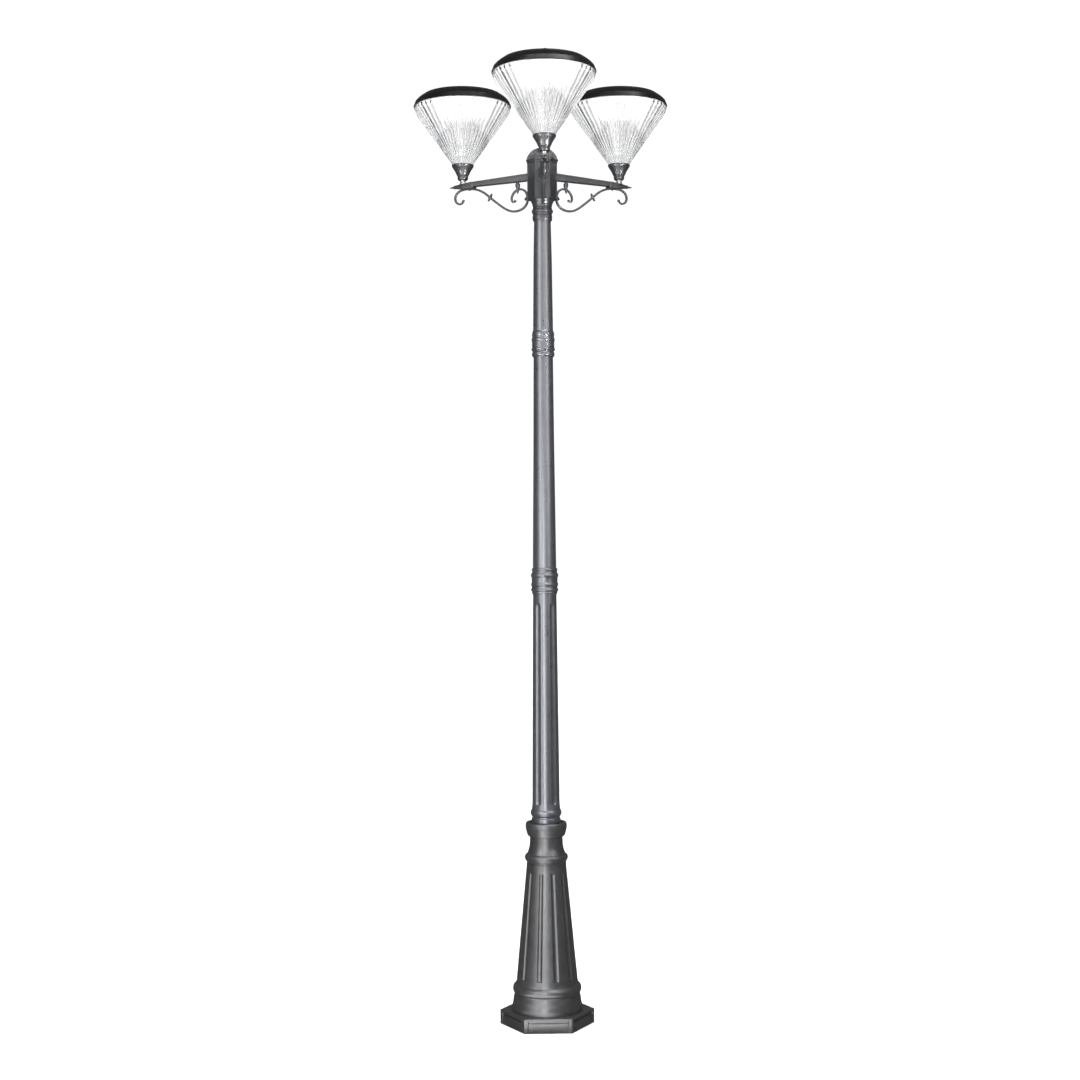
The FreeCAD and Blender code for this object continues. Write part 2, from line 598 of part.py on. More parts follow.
def arm_bolt(z):
    """Button head bolt through the root plate and the hub's wall, and its nut."""
    head = lathe([[(0, 0), (5.2, 0)], [(5.2, 0), (4.9, 1.6), (3.6, 2.9), (1.8, 3.3)], [(1.8, 3.3), (0, 3.3)], [(0, 3.3), (0, 0)]])
    head = rot(head, 90, (0, 0, 0), (0, 1, 0))
    head.translate(V(hub_ap + 4.0, 0, z))
    shank = Part.makeCylinder(2.9, hub_ap + 4.1 - 27.0, V(27.0, 0, z), V(1, 0, 0))
    nut = Part.makeCylinder(5.4, 5.0, V(31.6, 0, z), V(1, 0, 0))
    return head.fuse(shank).fuse(nut).removeSplitter()


bolt_set = []
for deg in ARM_DIRS.values():
    for z in BOLT_Z:
        bolt_set.append(rot(arm_bolt(z), deg))
save(group(bolt_set), "arm_bolts")

# ---------------------------------------------------------------------------
# Scrolls: one cast bar per arm, bent in the arm's plane
# ---------------------------------------------------------------------------

SCROLL_PATH = [
    (315.8, 2856.5), (320.1, 2851.0), (327.3, 2846.8), (336.5, 2848.0), (345.6, 2855.0), (349.8, 2866.0),
    (347.1, 2878.0), (339.4, 2887.5), (324.9, 2894.4), (305.2, 2896.8), (288.3, 2896.2), (272.9, 2894.0),
    (250.8, 2887.5), (229.6, 2876.0), (209.3, 2860.0), (189.6, 2844.5), (169.8, 2829.5), (150.6, 2816.0),
    (130.3, 2805.5), (111.1, 2801.2), (92.8, 2802.2), (76.4, 2808.0), (64.8, 2817.5), (58.5, 2830.0),
    (58.0, 2845.0), (62.5, 2860.5), (71.5, 2870.5), (84.0, 2875.4), (97.5, 2874.4), (109.5, 2867.6),
    (117.5, 2857.5), (120.8, 2846.0), (118.6, 2836.2), (112.5, 2833.6), (107.0, 2836.8),
]
SCROLL_T = 9.0
SCROLL_W = 7.6


def scroll_shape():
    path = Part.BSplineCurve()
    path.interpolate([V(u, 0, z) for u, z in SCROLL_PATH])
    n = 150
    t0, t1 = path.FirstParameter, path.LastParameter
    left, right = [], []
    for i in range(n + 1):
        t = t0 + (t1 - t0) * i / n
        p = path.value(t)
        d = path.tangent(t)[0]
        nrm = V(-d.z, 0, d.x)
        s = i / float(n)
        w = SCROLL_W / 2 * (0.72 + 0.28 * min(1.0, s / 0.12, (1 - s) / 0.12))
        left.append(p.add(nrm.multiply(w)))
        nrm = V(-d.z, 0, d.x)
        right.append(p.sub(nrm.multiply(w)))
    a = Part.BSplineCurve()
    a.interpolate(left)
    b = Part.BSplineCurve()
    b.interpolate(right)
    edges = [a.toShape(), Part.makeLine(left[-1], right[-1]), b.toShape(), Part.makeLine(right[0], left[0])]
    face = Part.Face(Part.Wire(Part.__sortEdges__(edges)))
    bar = face.extrude(V(0, SCROLL_T, 0))
    bar.translate(V(0, -SCROLL_T / 2, 0))
    if bar.Volume < 0:
        bar.reverse()
    extras = []
    for (u, z), r in ((SCROLL_PATH[0], 4.6), (SCROLL_PATH[-1], 4.4)):
        extras.append(Part.makeCylinder(r, SCROLL_T + 1.0, V(u, -(SCROLL_T + 1.0) / 2, z), V(0, 1, 0)))
    # the leaf that crosses the bar, square to it
    d = V(189.6 - 229.6, 0, 2844.5 - 2876.0)
    d.normalize()
    q = V(-d.z, 0, d.x)
    c = V(207.4, 0, 2858.5)
    leaf = []
    for along, across in ((-3.6, -14.5), (1.6, -14.5), (4.4, -5.0), (4.4, 5.0), (3.6, 14.5), (-1.6, 14.5), (-4.4, 5.0), (-4.4, -5.0)):
        leaf.append((c.x + d.x * along + q.x * across, c.z + d.z * along + q.z * across))
    extras.append(plate_uz(leaf, 12.0))
    # the bud between the small curl's crown and the arm, and its spur below
    extras.append(plate_uz([(96.0, 2870.0), (88.5, 2882.0), (86.5, 2891.0), (90.0, 2898.0), (94.0, 2900.3),
                            (101.0, 2900.3), (105.0, 2894.0), (103.5, 2884.0), (99.5, 2873.0)], 11.0))
    extras.append(plate_uz([(92.0, 2873.0), (95.0, 2861.5), (99.5, 2861.5), (101.0, 2873.0)], 9.0))
    # the pad against the hub
    extras.append(plate_uz([(hub_ap - 1.0, SCROLL_PAD_Z - 5.0), (hub_ap - 1.0, SCROLL_PAD_Z + 11.0),
                            (61.0, SCROLL_PAD_Z + 9.0), (66.5, SCROLL_PAD_Z + 2.0), (66.5, SCROLL_PAD_Z - 3.0), (60.0, SCROLL_PAD_Z - 5.0)], 12.0))
    s = bar.multiFuse(extras)
    s = s.cut(box(0, hub_ap - 1.2 * math.cos(math.radians(30)), -40, 40, 2780, 2960))
    # nothing stands above the saddle's underside
    s = s.cut(box(SADDLE[0] - 1, SADDLE[1] + 1, -20, 20, SADDLE[2], 2930))
    s = s.cut(disc(2.3, 2880.0, 2900.0, SCROLL_SCREW_U))
    s = s.cut(disc(4.6, 2880.0, 2892.8, SCROLL_SCREW_U))
    s = s.cut(Part.makeCylinder(2.6, 30.0, V(hub_ap - 3, 0, SCROLL_PAD_Z), V(1, 0, 0)))
    return s.removeSplitter()


scroll_master = scroll_shape()
for side_name, deg in ARM_DIRS.items():
    save(rot(scroll_master, deg), "scroll_" + side_name)

screws = []
for deg in ARM_DIRS.values():
    down = disc(2.2, 2892.8, 2908.0, SCROLL_SCREW_U).fuse(disc(4.2, 2890.4, 2892.8, SCROLL_SCREW_U))
    out = Part.makeCylinder(2.4, 66.7 - 37.4, V(37.4, 0, SCROLL_PAD_Z), V(1, 0, 0)).fuse(
        Part.makeCylinder(4.4, 2.6, V(66.6, 0, SCROLL_PAD_Z), V(1, 0, 0)))
    screws += [rot(down.removeSplitter(), deg), rot(out.removeSplitter(), deg)]
save(group(screws), "scroll_screws")

# ---------------------------------------------------------------------------
# Heads.  Each is made on the head's own axis, then set on its arm.
# ---------------------------------------------------------------------------


def head_place(shape, deg):
    s = shape.copy()
    s.translate(V(HEAD_U, 0, 0))
    return rot(s, deg)


head_stud = disc(6.0, 2903.0, 2946.0).fuse(lathe([
    [(0, 2916.2), (10.6, 2916.2)], [(10.6, 2916.2), (10.6, 2918.5)], [(10.6, 2918.5), (9.6, 2920.5), (9.4, 2925.0), (10.0, HOLDER_BOTTOM)],
    [(10.0, HOLDER_BOTTOM), (0, HOLDER_BOTTOM)], [(0, HOLDER_BOTTOM), (0, 2916.2)]])).removeSplitter()
saddle_top = Part.makeBox(60, 60, 20, V(-30, -30, 2898.0))
save(group([head_place(head_stud, d) for d in ARM_DIRS.values()]), "head_studs")
save(group([head_place(ring(10.0, 6.05, 2946.2, 2952.0).common(hexagon(10.0, 2940, 2960)), d) for d in ARM_DIRS.values()]), "head_locknuts")

holder = lathe([
    [(6.05, HOLDER_BOTTOM), (14.6, HOLDER_BOTTOM)],
    [(14.6, HOLDER_BOTTOM), (16.6, 2931.0), (18.0, 2934.0), (18.8, 2938.0), (18.6, 2942.0)],
    [(18.6, 2942.0), (18.2, 2943.5)],
    [(18.2, 2943.5), (20.6, 2945.5)],
    [(20.6, 2945.5), (24.0, 2953.0), (27.8, 2961.0), (32.2, 2968.0), (36.8, 2975.0), (38.4, 2979.0)],
    [(38.4, 2979.0), (38.8, 2981.5), (38.0, 2983.5), (36.6, 2984.2)],
    [(36.6, 2984.2), (34.6, 2984.2)],
    [(34.6, 2984.2), (34.6, DIFF_FOOT_Z)],
    [(34.6, DIFF_FOOT_Z), (27.0, DIFF_FOOT_Z)],
    [(27.0, DIFF_FOOT_Z), (17.0, 2954.0)],
    [(17.0, 2954.0), (15.0, 2946.2)],
    [(15.0, 2946.2), (6.05, 2946.2)],
])
for k in range(3):
    holder = holder.cut(rot(Part.makeCylinder(1.6, 12.0, V(28.0, 0, 2978.4), V(1, 0, 0)), 90 + 120 * k))
diffuser = lathe([
    [(34.4, DIFF_FOOT_Z), (34.4, 2984.6)],
    [(34.4, 2984.6), (38.2, 2987.4)],
    [(38.2, 2987.4), (160.0, 3158.5)],
    [(160.0, 3158.5), (163.4, 3164.0), (166.4, 3170.6), (168.4, 3178.0), (169.4, 3185.8)],
    [(169.4, 3185.8), (167.6, 3186.0)],
    [(167.6, 3186.0), (167.6, 3191.0)],
    [(167.6, 3191.0), (165.4, 3191.0)],
    [(165.4, 3191.0), (165.4, 3185.8)],
    [(165.4, 3185.8), (164.8, 3180.2), (163.2, 3173.4), (160.6, 3166.4), (157.2, 3160.4)],
    [(157.2, 3160.4), (35.0, 2989.6)],
    [(35.0, 2989.6), (31.2, 2986.0)],
    [(31.2, 2986.0), (31.2, DIFF_FOOT_Z)],
])
for k in range(3):
    diffuser = diffuser.cut(rot(Part.makeCylinder(1.6, 12.0, V(28.0, 0, 2978.4), V(1, 0, 0)), 90 + 120 * k))
holder_screws = [rot(set_screw(1.5, 2978.4, 0, 30.8, 38.0), 90 + 120 * k) for k in range(3)]

gasket = ring(167.4, 165.0, 3191.2, 3193.4)

cap_outer = [
    [(CAP_R - 3.2, CAP_RIM_Z), (CAP_R, CAP_RIM_Z)],
    [(CAP_R, CAP_RIM_Z), (171.5, 3189.2)],
    [(171.5, 3189.2), (170.9, 3190.0)],
    [(170.9, 3190.0), (165.4, 3203.6)],
    [(165.4, 3203.6), (162.8, 3206.6), (158.8, 3210.8), (153.8, 3215.2), (148.6, 3219.1), (144.0, 3222.2), (140.6, 3224.0)],
    [(140.6, 3224.0), (139.2, 3224.0)],
    [(139.2, 3224.0), (137.8, 3226.2), (135.2, 3228.2), (131.6, 3229.6), (128.0, 3230.3), (124.0, CAP_TOP_Z)],
    [(124.0, CAP_TOP_Z), (PANEL_R + 0.4, CAP_TOP_Z)],
    [(PANEL_R + 0.4, CAP_TOP_Z), (PANEL_R + 0.4, CAP_TOP_Z - 4.4)],
    [(PANEL_R + 0.4, CAP_TOP_Z - 4.4), (0, CAP_TOP_Z - 4.4)],
    [(0, CAP_TOP_Z - 4.4), (0, CAP_TOP_Z - 7.4)],
    [(0, CAP_TOP_Z - 7.4), (PANEL_R + 3.0, CAP_TOP_Z - 7.4)],
    [(PANEL_R + 3.0, CAP_TOP_Z - 7.4), (PANEL_R + 3.0, CAP_TOP_Z - CAP_WALL)],
    [(PANEL_R + 3.0, CAP_TOP_Z - CAP_WALL), (126.0, CAP_TOP_Z - CAP_WALL)],
    [(126.0, CAP_TOP_Z - CAP_WALL), (133.6, 3223.4)],
    [(133.6, 3223.4), (146.4, 3216.6)],
    [(146.4, 3216.6), (156.4, 3208.4)],
    [(156.4, 3208.4), (161.8, 3202.2)],
    [(161.8, 3202.2), (164.0, 3196.6)],
    [(164.0, 3196.6), (163.5, 3193.6)],
    [(163.5, 3193.6), (CAP_R - 3.2, 3193.6)],
    [(CAP_R - 3.2, 3193.6), (CAP_R - 3.2, CAP_RIM_Z)],
]
cap = lathe(cap_outer)
boss_angles = (45, 135, 225, 315)
for a in boss_angles:
    x, y = 146.0 * math.cos(math.radians(a)), 146.0 * math.sin(math.radians(a))
    post = disc(5.0, 3189.2, 3216.0, x, y)
    cap = cap.fuse(post)
# two posts under the roof carry the controller board, outward of the panel
for yy in (-22.0, 22.0):
    cap = cap.fuse(disc(3.2, 3215.1, 3228.5, BUTTON_U, yy))
cap = cap.cut(disc(7.0, 3212.5, 3237.5, BUTTON_U, 0))
for a in boss_angles:
    x, y = 146.0 * math.cos(math.radians(a)), 146.0 * math.sin(math.radians(a))
    cap = cap.cut(disc(1.9, 3185.0, 3205.0, x, y))
for yy in (-22.0, 22.0):
    cap = cap.cut(disc(1.2, 3207.5, 3224.5, BUTTON_U, yy))
# a lead hole from the panel down to the board
cap = cap.cut(disc(3.0, 3217.5, 3232.5, 70.0, 0))
cap = cap.removeSplitter()

panel = disc(PANEL_R, CAP_TOP_Z - 4.4, CAP_TOP_Z - 0.4)

reflector = lathe([
    [(0, 3186.6), (LED_R + 2.0, 3186.6)],
    [(LED_R + 2.0, 3186.6), (LED_R + 2.0, 3184.0)],
    [(LED_R + 2.0, 3184.0), (REFLECTOR_R, 3184.0)],
    [(REFLECTOR_R, 3184.0), (REFLECTOR_R + 1.2, 3185.0)],
    [(REFLECTOR_R + 1.2, 3185.0), (REFLECTOR_R + 1.2, 3189.0)],
    [(REFLECTOR_R + 1.2, 3189.0), (LED_R - 8.0, 3189.0)],
    [(LED_R - 8.0, 3189.0), (0, 3189.0)],
    [(0, 3189.0), (0, 3186.6)],
])
for a in boss_angles:
    x, y = 146.0 * math.cos(math.radians(a)), 146.0 * math.sin(math.radians(a))
    reflector = reflector.cut(disc(2.1, 3175.0, 3195.0, x, y))
reflector = reflector.cut(disc(3.0, 3175.0, 3195.0, 0, 50.0))

led = disc(LED_R, 3185.0, 3186.6)
chips = []
for ring_r, count in ((52.0, 18), (36.0, 12), (20.0, 6)):
    for k in range(count):
        a = 2 * math.pi * k / count
        x, y = ring_r * math.cos(a), ring_r * math.sin(a)
        chips.append(box(x - 2.2, x + 2.2, y - 2.2, y + 2.2, 3184.1, 3185.0))
led = led.multiFuse(chips)
led = led.cut(disc(3.0, 3175.0, 3195.0, 0, 50.0)).removeSplitter()

battery = fuse([box(-38.0, 38.0, -21.0, 21.0, 3189.0, 3209.0)])
battery = soften(battery, 4.0, lambda e: abs(e.Vertexes[0].X - e.Vertexes[-1].X) > 70)
controller = box(BUTTON_U - 14.0, BUTTON_U + 14.0, -30.0, 30.0, 3213.5, 3215.1)
controller = controller.fuse(box(BUTTON_U - 3.0, BUTTON_U + 3.0, -3.0, 3.0, 3215.1, 3218.1))
controller = controller.fuse(disc(1.5, 3218.1, 3218.9, BUTTON_U, 0))
controller = controller.fuse(box(BUTTON_U - 9.0, BUTTON_U + 9.0, 8.0, 16.0, 3215.1, 3218.5))
controller = controller.fuse(box(BUTTON_U - 12.0, BUTTON_U + 10.0, -17.0, -9.0, 3210.5, 3213.5))
for yy in (-22.0, 22.0):
    controller = controller.cut(disc(1.5, 3207.5, 3217.5, BUTTON_U, yy))
controller = controller.removeSplitter()

button = lathe([
    [(0, 3221.5), (2.2, 3221.5)],
    [(2.2, 3221.5), (2.2, 3225.1)],
    [(2.2, 3225.1), (9.0, 3225.1)],
    [(9.0, 3225.1), (9.0, 3227.1)],
    [(9.0, 3227.1), (6.7, 3227.1)],
    [(6.7, 3227.1), (6.7, 3232.1)],
    [(6.7, 3232.1), (6.3, 3233.1), (5.2, 3233.5)],
    [(5.2, 3233.5), (0, 3233.1)],
    [(0, 3233.1), (0, 3221.5)],
])
button.translate(V(BUTTON_U, 0, 0))

cap_screw = disc(1.8, 3183.9, 3203.0).fuse(lathe([
    [(0, 3181.8), (2.4, 3181.8)], [(2.4, 3181.8), (3.6, 3182.6), (3.9, 3184.0)], [(3.9, 3184.0), (0, 3184.0)],
    [(0, 3184.0), (0, 3181.8)]])).removeSplitter()
board_screw = disc(1.1, 3211.5, 3222.5).fuse(disc(2.4, 3211.7, 3213.5))
board_screw = board_screw.removeSplitter()

cap_screws, board_screws, gaskets, hold_screws = [], [], [], []
for side_name, deg in ARM_DIRS.items():
    for name, s in (("holder", holder), ("diffuser", diffuser), ("cap", cap), ("solar_panel", panel),
                    ("reflector", reflector), ("led_board", led), ("battery", battery),
                    ("controller", controller), ("power_button", button)):
        save(head_place(s, deg), name + "_" + side_name)
    for a in boss_angles:
        x, y = 146.0 * math.cos(math.radians(a)), 146.0 * math.sin(math.radians(a))
        cap_screws.append(head_place(moved(cap_screw, x, y, 0), deg))
    for yy in (-22.0, 22.0):
        board_screws.append(head_place(moved(board_screw, BUTTON_U, yy, 0), deg))
    gaskets.append(head_place(gasket, deg))
    hold_screws += [head_place(s, deg) for s in holder_screws]
save(group(cap_screws + board_screws), "cap_screws")
save(group(gaskets), "diffuser_gaskets")
save(group(hold_screws), "holder_screws")
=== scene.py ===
import bpy, bmesh, math, json, random
from mathutils import Vector, Matrix, noise


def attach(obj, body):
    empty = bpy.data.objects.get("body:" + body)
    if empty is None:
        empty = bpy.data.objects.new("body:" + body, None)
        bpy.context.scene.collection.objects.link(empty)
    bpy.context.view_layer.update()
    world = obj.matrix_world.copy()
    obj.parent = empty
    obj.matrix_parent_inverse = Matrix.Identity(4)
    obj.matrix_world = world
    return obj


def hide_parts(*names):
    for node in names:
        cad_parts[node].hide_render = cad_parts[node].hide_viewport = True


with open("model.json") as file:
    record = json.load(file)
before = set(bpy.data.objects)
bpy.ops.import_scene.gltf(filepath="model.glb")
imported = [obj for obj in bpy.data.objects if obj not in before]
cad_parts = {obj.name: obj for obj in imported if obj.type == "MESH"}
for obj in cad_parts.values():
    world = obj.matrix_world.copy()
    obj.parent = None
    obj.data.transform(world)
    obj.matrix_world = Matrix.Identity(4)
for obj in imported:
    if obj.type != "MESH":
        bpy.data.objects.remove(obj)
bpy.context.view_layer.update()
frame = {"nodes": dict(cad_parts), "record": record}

ARM_DIRS = {"front": -90.0, "right": 30.0, "left": 150.0}
HEAD_U = 0.318
scene = bpy.context.scene
coll = scene.collection
random.seed(7)

# ---------------------------------------------------------------------------
# Node helpers
# ---------------------------------------------------------------------------


class Tree:
    """A short way to write shader nodes."""

    def __init__(self, tree):
        self.t = tree
        self.n = tree.nodes
        self.l = tree.links

    def new(self, kind, **props):
        node = self.n.new(kind)
        for k, v in props.items():
            setattr(node, k, v)
        return node

    def link(self, a, b):
        self.l.new(a, b)

    def put(self, socket, value):
        if isinstance(value, bpy.types.NodeSocket):
            self.link(value, socket)
        elif value is not None:
            socket.default_value = value

    def math(self, op, a, b=None, c=None, clamp=False):
        m = self.new("ShaderNodeMath", operation=op, use_clamp=clamp)
        self.put(m.inputs[0], a)
        if b is not None:
            self.put(m.inputs[1], b)
        if c is not None:
            self.put(m.inputs[2], c)
        return m.outputs[0]

    def mix(self, fac, a, b, blend="MIX"):
        m = self.new("ShaderNodeMix", data_type="RGBA", blend_type=blend)
        self.put(m.inputs[0], fac)
        self.put(m.inputs[6], a if isinstance(a, bpy.types.NodeSocket) else tuple(a) + (1.0,) * (4 - len(a)))
        self.put(m.inputs[7], b if isinstance(b, bpy.types.NodeSocket) else tuple(b) + (1.0,) * (4 - len(b)))
        return m.outputs[2]

    def noise(self, vec, scale, detail=2.0, rough=0.5, dist=0.0):
        m = self.new("ShaderNodeTexNoise")
        self.put(m.inputs["Vector"], vec)
        m.inputs["Scale"].default_value = scale
        m.inputs["Detail"].default_value = detail
        m.inputs["Roughness"].default_value = rough
        m.inputs["Distortion"].default_value = dist
        return m.outputs["Fac"]

    def ramp(self, fac, stops):
        r = self.new("ShaderNodeValToRGB")
        self.put(r.inputs[0], fac)
        el = r.color_ramp.elements
        el[0].position, el[0].color = stops[0][0], (stops[0][1],) * 3 + (1.0,)
        el[1].position, el[1].color = stops[1][0], (stops[1][1],) * 3 + (1.0,)
        for p, v in stops[2:]:
            e = el.new(p)
            e.color = (v,) * 3 + (1.0,)
        return r.outputs[0]

    def maprange(self, v, a, b, c, d):
        m = self.new("ShaderNodeMapRange")
        self.put(m.inputs[0], v)
        for i, x in enumerate((a, b, c, d)):
            m.inputs[1 + i].default_value = x
        return m.outputs[0]

    def bump(self, height, strength, distance, normal=None):
        b = self.new("ShaderNodeBump")
        b.inputs["Strength"].default_value = strength
        b.inputs["Distance"].default_value = distance
        self.put(b.inputs["Height"], height)
        if normal is not None:
            self.put(b.inputs["Normal"], normal)
        return b.outputs[0]


def material(name):
    m = bpy.data.materials.new(name)
    m.use_nodes = True
    m.node_tree.nodes.clear()
    t = Tree(m.node_tree)
    out = t.new("ShaderNodeOutputMaterial")
    p = t.new("ShaderNodeBsdfPrincipled")
    t.link(p.outputs[0], out.inputs[0])
    tc = t.new("ShaderNodeTexCoord")
    return m, t, p, tc.outputs["Object"]


def powder_coat(name, dark, light, rough, peel=0.16, cast=0.0, metal=0.0, wear=1.0):
    """Satin charcoal powder coat, with fine metal flake, over a casting or a tube."""
    m, t, p, co = material(name)
    big = t.noise(co, 5.0, 3.0, 0.55)
    mid = t.noise(co, 38.0, 4.0, 0.6)
    fine = t.noise(co, 900.0, 2.0, 0.5)
    grain = t.noise(co, 2600.0, 1.0, 0.5)
    tone = t.math("ADD", t.math("MULTIPLY", big, 0.6), t.math("MULTIPLY", mid, 0.4))
    col = t.mix(t.maprange(tone, 0.32, 0.68, 0.0, 1.0), dark, light)
    speck = t.ramp(grain, [(0.60, 0.0), (0.74, 1.0)])
    col = t.mix(t.math("MULTIPLY", speck, 0.16), col, tuple(min(1.0, c * 2.0) for c in light))
    geo = t.new("ShaderNodeNewGeometry")
    r = t.maprange(mid, 0.3, 0.7, rough - 0.04, rough + 0.05)
    if wear:
        edge = t.ramp(geo.outputs["Pointiness"], [(0.53, 0.0), (0.60, 1.0)])
        rub = t.math("MULTIPLY", edge, t.ramp(t.noise(co, 60.0, 4.0, 0.65), [(0.44, 0.0), (0.62, 1.0)]))
        col = t.mix(t.math("MULTIPLY", rub, 0.40 * wear), col, tuple(min(1.0, c * 2.2) for c in light))
        r = t.math("SUBTRACT", r, t.math("MULTIPLY", rub, 0.06 * wear), clamp=True)
    sep = t.new("ShaderNodeSeparateXYZ")
    t.put(sep.inputs[0], geo.outputs["Normal"])
    up = t.ramp(sep.outputs[2], [(0.60, 0.0), (0.98, 1.0)])
    dust = t.math("MULTIPLY", up, t.ramp(t.noise(co, 22.0, 5.0, 0.6), [(0.35, 0.15), (0.75, 1.0)]))
    col = t.mix(t.math("MULTIPLY", dust, 0.12), col, (0.30, 0.29, 0.27))
    t.put(p.inputs["Base Color"], col)
    r = t.math("ADD", r, t.math("MULTIPLY", dust, 0.12))
    t.put(p.inputs["Roughness"], r)
    p.inputs["Metallic"].default_value = metal
    p.inputs["IOR"].default_value = 1.52
    nrm = t.bump(fine, peel, 0.0004)
    if cast:
        nrm = t.bump(t.noise(co, 170.0, 3.0, 0.55), cast, 0.0012, nrm)
    t.put(p.inputs["Normal"], nrm)
    return m


def steel(name, col, rough, metal=1.0, scale=400.0):
    m, t, p, co = material(name)
    n1 = t.noise(co, scale, 3.0, 0.6)
    n2 = t.noise(co, 40.0, 3.0, 0.6)
    t.put(p.inputs["Base Color"], t.mix(n2, tuple(c * 0.75 for c in col), col))
    t.put(p.inputs["Roughness"], t.maprange(n1, 0.3, 0.7, rough - 0.07, rough + 0.08))
    p.inputs["Metallic"].default_value = metal
    t.put(p.inputs["Normal"], t.bump(n1, 0.12, 0.0003))
    return m


def plastic(name, dark, light, rough, bump=0.1, scale=1400.0, ior=1.5):
    m, t, p, co = material(name)
    a = t.noise(co, 9.0, 3.0, 0.5)
    b = t.noise(co, scale, 2.0, 0.5)
    c = t.noise(co, 55.0, 4.0, 0.6)
    t.put(p.inputs["Base Color"], t.mix(t.maprange(a, 0.3, 0.7, 0.0, 1.0), dark, light))
    t.put(p.inputs["Roughness"], t.maprange(c, 0.3, 0.7, rough - 0.05, rough + 0.06))
    p.inputs["IOR"].default_value = ior
    t.put(p.inputs["Normal"], t.bump(b, bump, 0.0003))
    return m


MAT = {}
MAT["powder_pole"] = powder_coat("powder_coat_pole", (0.170, 0.173, 0.190), (0.212, 0.216, 0.236), 0.31, 0.06, 0.0, 0.85, 0.0)
MAT["powder_cast"] = powder_coat("powder_coat_cast", (0.122, 0.123, 0.126), (0.162, 0.163, 0.166), 0.36, 0.10, 0.06, 0.87, 0.6)
MAT["powder_arm"] = powder_coat("powder_coat_arm", (0.085, 0.086, 0.090), (0.122, 0.124, 0.129), 0.36, 0.10, 0.03, 0.80, 0.0)
MAT["steel"] = steel("zinc_steel", (0.60, 0.60, 0.61), 0.30)
MAT["black_steel"] = steel("black_steel", (0.05, 0.05, 0.055), 0.42, 0.6)
MAT["cap"] = plastic("cap_black", (0.0020, 0.0020, 0.0022), (0.0034, 0.0034, 0.0038), 0.30, 0.05)
MAT["gasket"] = plastic("gasket_rubber", (0.012, 0.012, 0.012), (0.022, 0.022, 0.022), 0.7, 0.2)
MAT["button"] = plastic("button_rubber", (0.045, 0.046, 0.05), (0.07, 0.07, 0.075), 0.6, 0.25, 900.0)
MAT["white"] = plastic("reflector_white", (0.86, 0.86, 0.85), (0.93, 0.93, 0.92), 0.32, 0.05)
MAT["battery"] = plastic("battery_wrap", (0.03, 0.08, 0.28), (0.05, 0.12, 0.36), 0.35, 0.06)
MAT["board"] = plastic("circuit_board", (0.02, 0.14, 0.06), (0.03, 0.2, 0.08), 0.45, 0.1)

SLOT_MATERIAL = {
    "steel_sleeve": "steel", "blackened_steel": "black_steel", "plain_steel": "steel",
    "cap_black": "cap", "gasket_rubber": "gasket", "button_rubber": "button",
    "reflector_white": "white", "led_board": "white", "battery_wrap": "battery", "circuit_board": "board",
    "solar_glass": "cap", "clear_diffuser": "white", "powder_coat": "powder_cast",
}
POLE_NODES = {"lower_pole", "middle_pole", "upper_pole", "lower_joint_collar", "upper_joint_collar", "neck_collar", "pedestal_cup"}
ARM_NODES = {"hub_body", "hub_dome"}
slots = {s["node"]: s["material_slot"] for s in frame["record"]["subparts"]}
for name, o in frame["nodes"].items():
    key = SLOT_MATERIAL[slots[name]]
    if name in POLE_NODES:
        key = "powder_pole"
    if name in ARM_NODES or name.startswith(("arm_", "scroll_", "holder_")) and name not in ("arm_bolts", "scroll_screws", "holder_screws"):
        key = "powder_arm"
    o.data.materials.clear()
    o.data.materials.append(MAT[key])

# ---------------------------------------------------------------------------
# Mesh helpers.  Profiles are in millimetres, meshes in metres.
# ---------------------------------------------------------------------------

MM = 0.001


def spline(pts, per=8):
    """A smooth curve through the points, as a list of points."""
    P = [Vector(p) for p in pts]
    n = len(P)
    ext = [P[0] * 2 - P[1]] + P + [P[-1] * 2 - P[-2]]
    out = []
    for i in range(n - 1):
        p0, p1, p2, p3 = ext[i], ext[i + 1], ext[i + 2], ext[i + 3]
        t0 = 0.0
        t1 = t0 + max((p1 - p0).length, 1e-6) ** 0.5
        t2 = t1 + max((p2 - p1).length, 1e-6) ** 0.5
        t3 = t2 + max((p3 - p2).length, 1e-6) ** 0.5
        for k in range(per):
            t = t1 + (t2 - t1) * k / per
            a1 = p0 * ((t1 - t) / (t1 - t0)) + p1 * ((t - t0) / (t1 - t0))
            a2 = p1 * ((t2 - t) / (t2 - t1)) + p2 * ((t - t1) / (t2 - t1))
            a3 = p2 * ((t3 - t) / (t3 - t2)) + p3 * ((t - t2) / (t3 - t2))
            b1 = a1 * ((t2 - t) / (t2 - t0)) + a2 * ((t - t0) / (t2 - t0))
            b2 = a2 * ((t3 - t) / (t3 - t1)) + a3 * ((t - t1) / (t3 - t1))
            out.append(b1 * ((t2 - t) / (t2 - t1)) + b2 * ((t - t1) / (t2 - t1)))
    out.append(P[-1])
    return out


def profile(runs, per=6):
    """Points of a profile from runs: two points are a straight line, more are a smooth curve."""
    pts = []
    last = None
    for run in runs:
        run = [Vector(p) for p in run]
        if last is not None and (run[0] - last).length > 1e-6:
            run = [last] + run
        seg = run if len(run) == 2 else spline(run, per)
        pts += seg if not pts else seg[1:]
        last = run[-1]
    return pts


